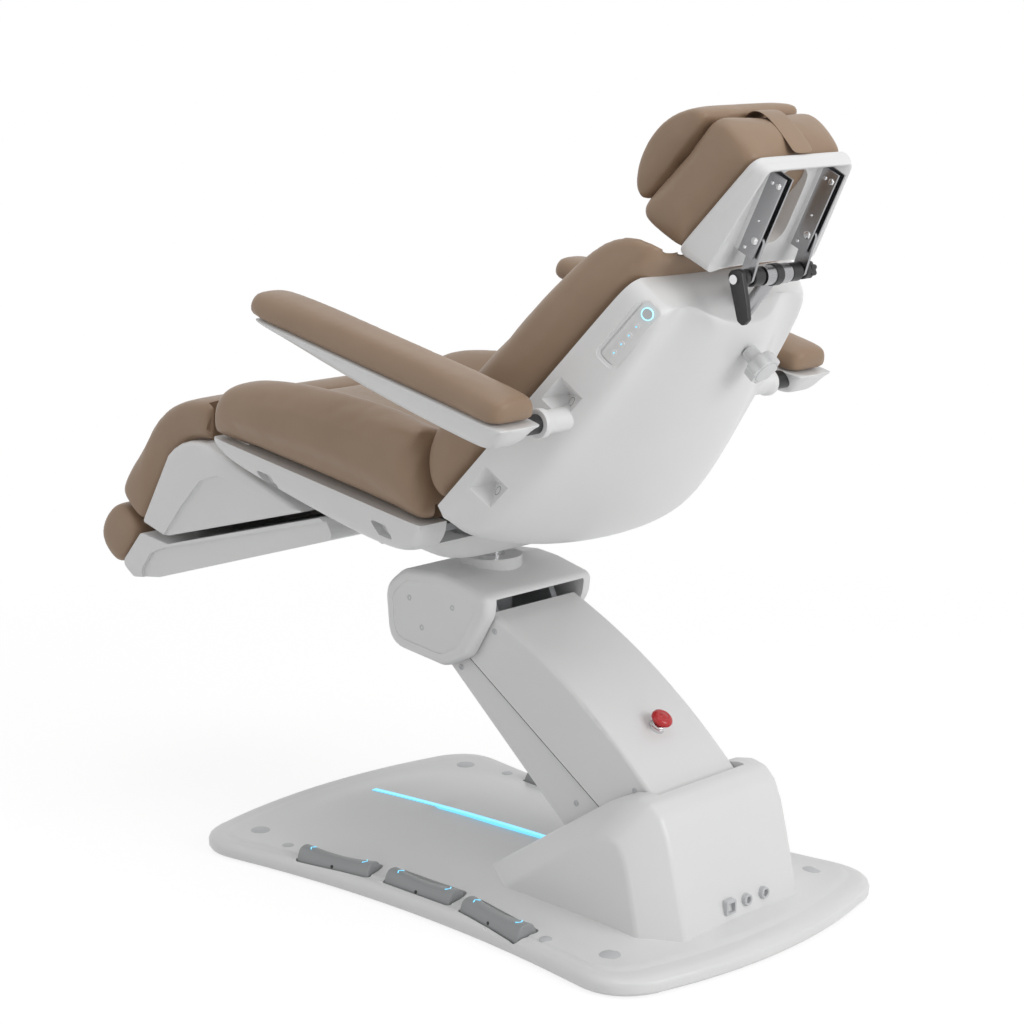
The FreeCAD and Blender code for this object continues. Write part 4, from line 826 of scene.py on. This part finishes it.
settle(foot_shell, WHITE, "foot")
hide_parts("foot_shell")
print("leg and foot shells", len(leg_shell.data.polygons), len(foot_shell.data.polygons))

# %% [markdown]
# ## Armrests
# Each armrest is a slim pad on a white trough that is deepest at its pivot. Pad and trough are both skins
# along the arm, one with a flat top and bevelled shoulders, the other with a keel.

# %% Pads and troughs of both armrests
def rest_pad(y, scale, top, middle):
    half = [(44, 15.3), (47, 21), (47, 36), (41, 49), (28, top), (0, top + 1)]
    ring = [(x * scale, y, 36 + (z - 36) * scale if scale < 0.99 else z) for x, z in half]
    return [(x + middle, y, z) for x, y, z in both_sides(ring)]

def rest_keel(y, low, scale, middle):
    half = [(45 * scale, 15), (44.5 * scale, 8 if low < 4 else 12), (30 * scale, low + 3),
            (21 * scale, low), (0, low)]
    return [(x + middle, yy, z) for x, yy, z in both_sides([(x, y, z) for x, z in half])]

REST_PAD = [(-535, 0.5, 56), (-531, 0.8, 56), (-515, 0.96, 56), (-470, 1, 57), (-260, 1, 57), (-40, 1, 57),
            (0, 1, 57), (18, 0.95, 56), (25, 0.8, 56), (27, 0.5, 56)]
KEEL = [(-512, 12, 0.8), (-506, 5, 0.96), (-470, 0, 1), (-260, -21, 1), (-100, -27, 1), (-14, -29, 1),
        (12, -25, 1), (30, 0, 0.98), (37, 12, 0.9)]
for hand, middle in (("left", 351), ("right", -351)):
    pad = skin("arm_pad_%s_cover" % hand, [rest_pad(*row, middle) for row in REST_PAD], REST, 2)
    cushion(stuffed(pad, cap=0.004, voxel=0.005), "rest_" + hand, ["arm_pad_" + hand])
    trough = skin("arm_shell_%s_moulding" % hand, [rest_keel(*row, middle) for row in KEEL], REST, 2,
                  rows=((0, 0.5), (8, 0.5)), columns=((0, 1), (8, 1)))
    settle(trough, WHITE, "rest_" + hand)
    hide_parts("arm_shell_" + hand)

# %% [markdown]
# ## Headrest
# A cushioned block on a white dish, with a half-round neck pillow strapped to its front. The block leans
# 15.7 degrees forward of the link plates, so the dish is deep at the bottom and shallow at the top. It
# gets a frame of its own, and one helper draws the round-cornered outline that shell and cushion share at
# every depth.

# %% Head cushion
PADDED = HEAD @ at(0, 0, 62.6) @ about("X", -15.7)

def head_loop(low_half, top_half, low, top, corner, depth):
    corners = [(low_half, low), (top_half, top), (-top_half, top), (-low_half, low)]
    ring = [(0.66 * low_half, low)] + soft_corners(corners, corner, 5) + [(-0.66 * low_half, low)]
    return [(x, p, depth(x, p) if callable(depth) else depth) for x, p in ring]

HEAD_PAD = [(118, 98, -50, 112, 20, 0.6), (127, 106, -59, 122, 22, 1.2), (131, 110.5, -63.5, 127, 24, 7),
            (132.5, 112.5, -71, 130.5, 25, 38), (132.5, 112.5, -77, 130, 25, 66),
            (131, 111, -79, 125, 25, 84), (125, 105, -74, 114, 26, 94.5), (108, 90, -58, 96, 24, 97.5)]
head_cushion = skin("head_cushion_pad", [head_loop(*row) for row in HEAD_PAD], PADDED, 2)
cushion(stuffed(head_cushion, cap=0.004, voxel=0.005), "head", ["head_cushion"])

# %% Neck pillow
ROLL = [(-67, 98.5), (-70.5, 109), (-67.5, 124), (-54, 136), (-28, 150), (9, 158), (48, 155), (75, 144.5),
        (97, 130), (110, 117), (113.5, 106), (108, 98.5), (20, 98)]

def roll_ring(x, scale):
    return [(x, 20 + (p - 20) * scale, 122 + (q - 122) * scale) for p, q in ROLL]

ROLL_END = [(-117, 0.72), (-116, 0.9), (-110, 0.985), (-96, 1)]
ROLL_ROWS = ROLL_END + [(0, 1.005)] + [(-x, scale) for x, scale in reversed(ROLL_END)]
pillow = skin("head_pillow_roll", [roll_ring(*row) for row in ROLL_ROWS], PADDED, 2)
cushion(stuffed(pillow, cap=0.004, voxel=0.005), "head", ["head_pillow"])

# %% Strap over the top
PATH = [(92, 101), (104, 100.8), (114, 99), (122, 95), (128.5, 87), (132.5, 76), (134.5, 61), (134.5, 42),
        (132.5, 13), (129.5, -2)]
loops = []
for i, (p, q) in enumerate(PATH):
    before, after = PATH[max(i - 1, 0)], PATH[min(i + 1, len(PATH) - 1)]
    along = Vector((after[0] - before[0], after[1] - before[1])).normalized()
    out_p, out_q = -along.y, along.x
    flat = ((-23, -0.9), (0, -0.9), (23, -0.9), (23.6, 0), (23, 0.9), (0, 1.2), (-23, 0.9), (-23.6, 0))
    loops.append([(x, p + out_p * h, q + out_q * h) for x, h in flat])
strap = skin("pillow_strap", loops, PADDED, 2)
settle(strap, LEATHERETTE, "head")

# %% Head shell with its sunk middle and hand opening
def rear_edge(x, p):
    return -57 + (p + 46) * 32 / 172

def sunk_floor(x, p):
    return -37 + 0.281 * p

def edge_or_floor(x, p):
    return sunk_floor(x, p) - 0.6 if abs(x) < 95 and p < 0 else rear_edge(x, p)

DISH = [(122, 101, -54, 116, 16, 2.5), (129, 108.5, -62, 125.5, 22, 1.5), (133, 112, -65, 128.5, 24, -1.5),
        (133, 112, -64, 128.5, 24, -12), (131.5, 110, -61, 127, 22, -16),
        (130.5, 101, -47, 126, 16, edge_or_floor), (126.5, 97, -46.2, 122, 13, edge_or_floor),
        (93, 78, -45.8, 104, 10, sunk_floor), (80, 66, -43, 92, 10, sunk_floor)]
head_shell = skin("head_shell_moulding", [head_loop(*row) for row in DISH], PADDED, 2,
                  rows=((0, 0.5), (3, 0.3), (5, 0.45), (7, 0.7)))
HOLE = soft_corners([(-36, -26), (36, -26), (36, 100), (-36, 100)], 35.9, 10)
carve(head_shell, [plate("cutter", HOLE, 0, 110, HEAD, rim=0, axis="Z")])
settle(head_shell, WHITE, "head")
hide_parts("head_shell")
seats = [plate("rib", [(x - 11, -26), (x + 11, -26), (x + 11, 102), (x - 11, 102)], 19.8, 34, HEAD, rim=2,
               axis="Z") for x in (-62.5, 62.5)]
settle(join("channel_ribs", seats), WHITE, "head")

# %% Rivets, bushes, lever and small knob of the headrest
def rivet(x, y, z, radius, out, tall=2.2):
    """A round-headed rivet that faces sideways."""
    dome = [(0, tall), (radius * 0.55, tall * 0.94), (radius * 0.88, tall * 0.6), (radius, 0.2),
            (radius, -1.5)]
    return turned("disc", dome, HEAD @ at(x, y, z) @ about("Y", 90 * out), 24)

rivets = []
for sign in (1, -1):
    for y, z, radius in ((0, 0, 6.5), (90, -2, 5), (90, 10, 3.4), (-16, 11, 3.4), (30, 6, 2.2)):
        rivets.append(rivet(72 * sign, y, z, radius, sign))
        rivets.append(rivet(53 * sign, y, z, radius, -sign))
settle(join("head_rivets", rivets), BRIGHT, "head")
bushes = []
ROD_FRAME = at(0, ROD.y, ROD.z) @ MILLIMETRES @ about("Y", 90)
for low, high, radius in ((33, 57, 14), (-57, -33, 14), (-9, 9, 16.5), (66.5, 77, 13), (-78, -66.5, 13)):
    bush = [(0, low), (radius - 1.5, low), (radius, low + 1.5), (radius, high - 1.5), (radius - 1.5, high),
            (0, high)]
    bushes.append(turned("bush", bush, ROD_FRAME, 32))
bushes.append(star("end_knob", ROD_FRAME, 13, 6, 3, -92, -79, 2))
settle(join("rod_bushes", bushes), BLACK, "head_slide")
LEVER = at(0, ROD.y, ROD.z) @ about("X", 14) @ MILLIMETRES
BLADE = soft_corners([(-13, 8), (-7, 14), (7, 14), (13, 8), (12, -40), (9, -62), (-3, -69), (-11, -60)], 7)
blade = plate("clamp_lever_blade", BLADE, 78, 89, LEVER, rim=2.5)
settle(blade, BLACK, "clamp_lever")
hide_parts("head_lever")
print("headrest fittings:", len(rivets), "rivets", len(bushes), "bushes")

# %% [markdown]
# ## Base
# A wide pan with a rolled rim and a low crown, waisted at the sides where the foot pedals sit. The plan
# is four arcs with round corners. The rim is walked up from the floor edge, then the surface runs inwards
# and rises to the crown.

# %% Base moulding
def base_loop(inset):
    i = inset
    corners = [(-345 + i, -475 + i, 1055), (345 - i, -475 + i, -2300), (338 - i, 480 - i, 911),
               (-338 + i, 480 - i, -2300)]
    runs = [arc_points(corners[k][:2], corners[(k + 1) % 4][:2], corners[k][2], 14) for k in range(4)]
    made = []
    keep = max(85 - i, 24)
    for k in range(4):
        corner = Vector(corners[k][:2])
        back, ahead = Vector(runs[k - 1][-1]) - corner, Vector(runs[k][1]) - corner
        start, end = corner + back.normalized() * keep, corner + ahead.normalized() * keep
        for j in range(9):
            t = j / 8
            made.append(tuple((1 - t) ** 2 * start + 2 * t * (1 - t) * corner + t * t * end))
        far = keep * 1.05
        nxt = Vector(corners[(k + 1) % 4][:2])
        inner = [p for p in arc_points(corners[k][:2], corners[(k + 1) % 4][:2], corners[k][2], 40)
                 if (Vector(p) - corner).length > far and (Vector(p) - nxt).length > far]
        made += [inner[round(m * (len(inner) - 1) / 17)] for m in range(18)]
    return made

def crown(x, y):
    return 64 - x * x / 2908 - (y - 60) ** 2 / 14144

LEDGE = 33.4

def base_top(x, y, inset):
    rise = min(max((inset - 30) / 84, 0), 1)
    rise = rise * rise * (3 - 2 * rise)
    step = min(max((inset - 29) / 5, 0), 1)
    return 31 + 2.4 * step + (max(crown(x, y), LEDGE) - LEDGE) * rise

RIM = [(3, 9), (4, 4), (9, 0.5), (18, 0), (24, 2), (28, 6.5), (30.5, 13), (31, 20)]
loops = [[(x, y, z) for x, y in base_loop(inset)] for z, inset in RIM]
for inset in (27, 30, 34, 42, 56, 72, 90, 112, 140, 175, 215, 255):
    loops.append([(x, y, base_top(x, y, inset)) for x, y in base_loop(inset)])
base = skin("base_moulding", loops, FLOOR, 0)
PEDAL_SPOTS = []
for hand, sign in (("left", 1), ("right", -1)):
    for number, (x, y, skew) in enumerate(((268, -184, 8.8), (252, 3, 0), (268, 184, -8.8)), 1):
        spot = FLOOR @ at(x * sign, y, 24) @ about("Z", skew * sign)
        PEDAL_SPOTS.append(("pedal_%s_%d" % (hand, number), spot))
WELL = soft_corners([(-23.5, -78), (23.5, -78), (23.5, 78), (-23.5, 78)], 9)
cutters = [plate("cutter", WELL, -11.5, 60, spot, rim=2.5, axis="Z") for name, spot in PEDAL_SPOTS]
cutters.append(plate("cutter", [(-98, 125), (98, 125), (98, 445), (-98, 445)], 9, 120, FLOOR, rim=0,
                     axis="Z"))
carve(base, cutters, 30)
settle(base, WHITE, "base")
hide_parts("base_pan", "base_dome")
print("base faces", len(base.data.polygons))

# %% [markdown]
# The tower at the rear hides the feet of the lift arm. It is a broad hood with two lower cheeks. Its
# sections run across the chair, from cheek to cheek, and a rounded bevel turns the folds into moulded
# edges.

# %% Tower
HOOD = [(24, 29), (24, 42), (298, 223), (332, 239), (362, 245), (388, 240), (407, 222), (421, 190),
        (434, 140), (460, 29)]
CHEEK = [(112, 29), (112, 44), (288, 165), (318, 182), (344, 188), (362, 181), (375, 160), (384, 128),
         (391, 95), (405, 29)]

def across(points, x):
    return [(x, y, z) for y, z in points]

tower = skin("tower_moulding", [across(CHEEK, -190), across(HOOD, -140), across(HOOD, 140),
                                across(CHEEK, 190)], FLOOR, 0)
edge = tower.modifiers.new("moulded_edge", "BEVEL")
edge.width = 0.011
edge.segments = 5
edge.limit_method = "ANGLE"
edge.angle_limit = math.radians(22)
SLOT = soft_corners([(-20, 0), (-20, 320), (372, 320), (372, 236), (396, 233), (423, 157), (450, 0)], 6)
carve(tower, [plate("cutter", SLOT, -106, 106, FLOOR, rim=2)], 30)
settle(tower, WHITE, "base")
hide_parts("tower_cover")
print("tower faces", len(tower.data.polygons))

# %% Sockets at the foot of the tower
def on_tower(x):
    return FLOOR @ at(x, 450, 62) @ about("X", -90)

INLET = soft_corners([(-12, -12), (12, -12), (12, 12), (-12, 12)], 4)
MOUTH = soft_corners([(-8, -7), (8, -7), (8, 8), (-8, 8)], 2)
JACK = [(0, 2), (5.5, 2), (5.5, 9), (6.5, 10), (8.5, 10), (9.5, 9), (9.5, 0), (0, 0)]
inlet = plate("inlet", INLET, 0, 10, on_tower(30), rim=1.5, axis="Z")
sockets = [carve(inlet, [plate("cutter", MOUTH, 2, 20, on_tower(30), rim=0, axis="Z")])]
sockets += [turned("jack", JACK, on_tower(x), 28) for x in (-13, -56)]
ports = settle(join("rear_sockets", sockets), PALE, "base")
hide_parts("rear_ports")
print("sockets", len(sockets))

# %% Round caps on the base
def cap_on_base(x, y, radius, inset):
    near = 4.0
    z = base_top(x, y, inset)
    u = Vector((near, 0, base_top(x + near, y, inset) - z))
    v = Vector((0, near, base_top(x, y + near, inset) - z))
    cap = [(0, 0.9), (radius - 1.2, 0.8), (radius - 0.4, 0.4), (radius, -0.4), (radius, -3)]
    return turned("cap", cap, facing(FLOOR, (x, y, z), u, v), 36)

plugs = []
for sx in (1, -1):
    for x, y, radius, inset in ((252, 404, 17, 85), (252, -404, 17, 85), (269, -312, 10.5, 72),
                                (273, 291, 10.5, 66)):
        plugs.append(cap_on_base(x * sx, y, radius, inset))
settle(join("base_caps", plugs), PALE, "base")
print("base caps", len(plugs))

# %% [markdown]
# ## Pedals
# Six rocker pedals with a saddle top and softened ends. A section is drawn across the pedal and carried
# along it, lower in the middle. Small lit chevrons mark which way each end drives.

# %% Rockers and chevrons
def saddle(y):
    return 21.5 + 6.5 * (y / 75) ** 2

def pedal_ring(y, grow):
    top = saddle(y)
    half = [(20.6, -4.8), (20.8, 4), (18.6, 13), (14, top - 5.5), (8, top - 1.2), (0, top - 0.6)]
    return both_sides([(x * grow, y, -4.8 + (z + 4.8) * (0.5 + 0.5 * grow)) for x, z in half])

PEDAL_END = [(-75, 0.9), (-74, 0.98), (-70, 1), (-35, 1)]
PEDAL_ROWS = PEDAL_END + [(0, 1)] + [(-y, grow) for y, grow in reversed(PEDAL_END)]
MARK = [(-4.6, -0.8), (4.6, -0.8), (4.6, 0.8), (-4.6, 0.8)]
DOT = [(0, 0.6), (2.6, 0.6), (3, 0.2), (3, -1)]
for name, spot in PEDAL_SPOTS:
    rocker = skin(name + "_rocker", [pedal_ring(*row) for row in PEDAL_ROWS], spot, 2,
                  rows=((0, 0.8), (8, 0.8)), columns=((0, 0.8), (10, 0.8)))
    settle(rocker, PEDAL, name)
    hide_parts(name)
    marks = []
    for end in (1, -1):
        for lean in (1, -1):
            place = spot @ at(3.5 * lean, 57 * end, saddle(58) - 0.7) @ about("Z", -38 * lean * end)
            marks.append(plate("mark", MARK, -0.6, 0.7, place, rim=0.25, segments=2, axis="Z"))
    settle(join(name + "_chevrons", marks), CYAN, name)
    dots = [turned("dot", DOT, spot @ at(19.6 * side, 0, 9) @ about("Y", 82 * side), 18) for side in (1, -1)]
    settle(join(name + "_pivot_dots", dots), BLACK, name)
print("pedals", len(PEDAL_SPOTS))

# %% [markdown]
# ## Knuckle and stop button
# The knuckle at the top of the lift arm is a wrapped housing with a sunk side plate and three screws. The
# stop button is a red mushroom on a steel collar; a lathe profile gives both.

# %% Knuckle housing
HOUSING = [(-173, 516), (-218, 481), (-209, 380), (-77, 364), (-25, 389), (21, 464), (26, 499), (-50, 517),
           (-95, 522)]
knuckle = plate("knuckle_moulding", soft_corners(HOUSING, 44, 6), -128, 128, FLOOR, rim=11, segments=5,
                angle=30)
SIDE_PLATE = soft_corners([(-162, 498), (-198, 470), (-191, 397), (-84, 384), (-44, 403), (-4, 466),
                           (-2, 484), (-50, 499), (-95, 504)], 30, 6)
INSIDE = [(-140, 350), (-196, 392), (-206, 474), (-165, 505), (-95, 510), (60, 486), (60, 350)]
well = turned("cutter", [(0, 480), (37, 480), (37, 560), (0, 560)], FLOOR @ at(0, -90, 0), 40)
inside = plate("cutter", soft_corners(INSIDE, 10), -105, 105, FLOOR, rim=2)
carve(knuckle, cut_pair(SIDE_PLATE, 125.6, 150, FLOOR, 2) + [inside, well])
settle(knuckle, WHITE, "knuckle")
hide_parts("knuckle_housing")
print("knuckle faces", len(knuckle.data.polygons))

# %% Cover screws and a painted shadow line at the seam of the arm cover
LIFT_LENGTH = 430
SCREW = [(0, 0.2), (2.2, 0.2), (2.6, 1.2), (4.4, 1.2), (5.2, 0.6), (5.2, -1.5)]

def screws(name, body, spots, x):
    heads = [turned("screw", SCREW, FLOOR @ at(x * sign, y, z) @ about("Y", 90 * sign), 20)
             for y, z in spots for sign in (1, -1)]
    settle(join(name, heads), PALE, body)
    print(name, len(heads))

screws("knuckle_screws", "knuckle", [(-158, 468), (-57, 468), (-129, 422)], 125)
# A thin black strip along the lower edge of the arm cover is painted shadow: it stands for the shade in the
# step down to the link cover.
SHADOW_LINE = [(12, -36), (-LIFT_LENGTH + 6, -36), (-LIFT_LENGTH + 6, -37.8), (12, -37.8)]
shadow_lines = [plate("painted_shadow_strip", SHADOW_LINE, low, low + 3.9, LIFT, rim=0) for low in (97.6, -101.5)]
settle(join("arm_cover_painted_shadow_line", shadow_lines), BLACK, "arm")
screws("arm_screws", "arm", [(17, 437), (320, 237)], 102)
screws("link_screws", "link", [(-66, 360), (192, 185)], 96)

# %% Stop button
STOP = LIFT @ at(0, -108, 0)
MUSHROOM = [(0, 104.2), (7, 104.1), (7.6, 103.6), (8.2, 103.6), (8.8, 104), (13, 102.9), (16.6, 100.4),
            (18, 97), (17.6, 94), (15, 92.6), (10, 92), (8.6, 90), (8.6, 72), (0, 72)]
mushroom = turned("stop_mushroom", MUSHROOM, STOP, 48, angle=50)
settle(mushroom, RED, "estop")
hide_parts("estop_button")
COLLAR = [(9.2, 78), (9.2, 86.4), (11.5, 86.8), (12.6, 85.8), (12.8, 82.6), (13.8, 82), (14, 76), (13.6, 70),
          (9.2, 70), (9.2, 78)]
collar = turned("stop_collar_ring", COLLAR, STOP, 48)
settle(collar, BRIGHT, "arm")
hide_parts("estop_collar")
print("stop button spans", [round(v, 3) for v in mushroom.dimensions])

# %% [markdown]
# ## Control panel
# A sunk white strip in the near band with a lit ring button at its top and four white round keys. The
# keys are the solids' own; rings of light and small plain marks are laid on them.

# %% Panel plate, ring light and key marks
ON_PANEL = facing(BACK, (back_half(PANEL_AT) + 0.318 * (-71 + 24), PANEL_AT, -71), BAND_RUN, (0.318, 0, 1))
FACE = soft_corners([(-57, -15), (57, -15), (57, 15), (-57, 15)], 9)
sheet_plate = plate("control_panel_plate", FACE, -7, -2.4, ON_PANEL, rim=0.8, axis="Z")
settle(sheet_plate, WHITE, "back")
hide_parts("control_panel")
HALO = [(8.2, 0.1), (8.2, 0.6), (9.4, 0.6), (9.7, 0.2), (9.7, -1), (8.2, -1), (8.2, 0.1)]
halo = turned("ring_light", HALO, ON_PANEL @ at(40, 0, 0), 40)
settle(halo, RING_GLOW, "key_ring")
SIGN = [(-1.4, -0.9), (1.4, -0.9), (1.4, 0.9), (-1.4, 0.9)]
for number in range(4):
    place = ON_PANEL @ at(14 - 18 * number, 0, 0)
    mark = plate("key_%d_mark" % (number + 1), SIGN, -0.2, 0.25, place, rim=0.1, segments=1, axis="Z")
    settle(mark, CYAN, "key_%d" % (number + 1))
print("panel face", len(sheet_plate.data.polygons), "ring", len(halo.data.polygons))

# %% [markdown]
# ## Finishes of the solids that stay
# Steel frames, pins, rods, covers and small fittings keep their own shape and take the finishes made
# above.

# %% Dress the remaining solids
PLAN = [
    (WHITE, "arm_cover link_cover swivel_bearing button_1 button_2 button_3 button_4"),
    (CYAN, "led_strip"),
    (PALE, "button_ring"),
    (BLACK, "levelling_feet lift_actuator seat_actuators arm_pivots"),
    (COAT, "base_frame arm_frame link_bar knuckle_frame seat_frame back_frame"),
    (BRIGHT, "knuckle_pins pivot_pins swivel_post seat_pins foot_rails head_rod"),
    (STEEL, "swivel_lock_ring head_post head_links head_channels"),
]
for mat, names in PLAN:
    for name in names.split():
        NODES[name].data.materials.clear()
        NODES[name].data.materials.append(mat)
    print(mat.name, "on", names)
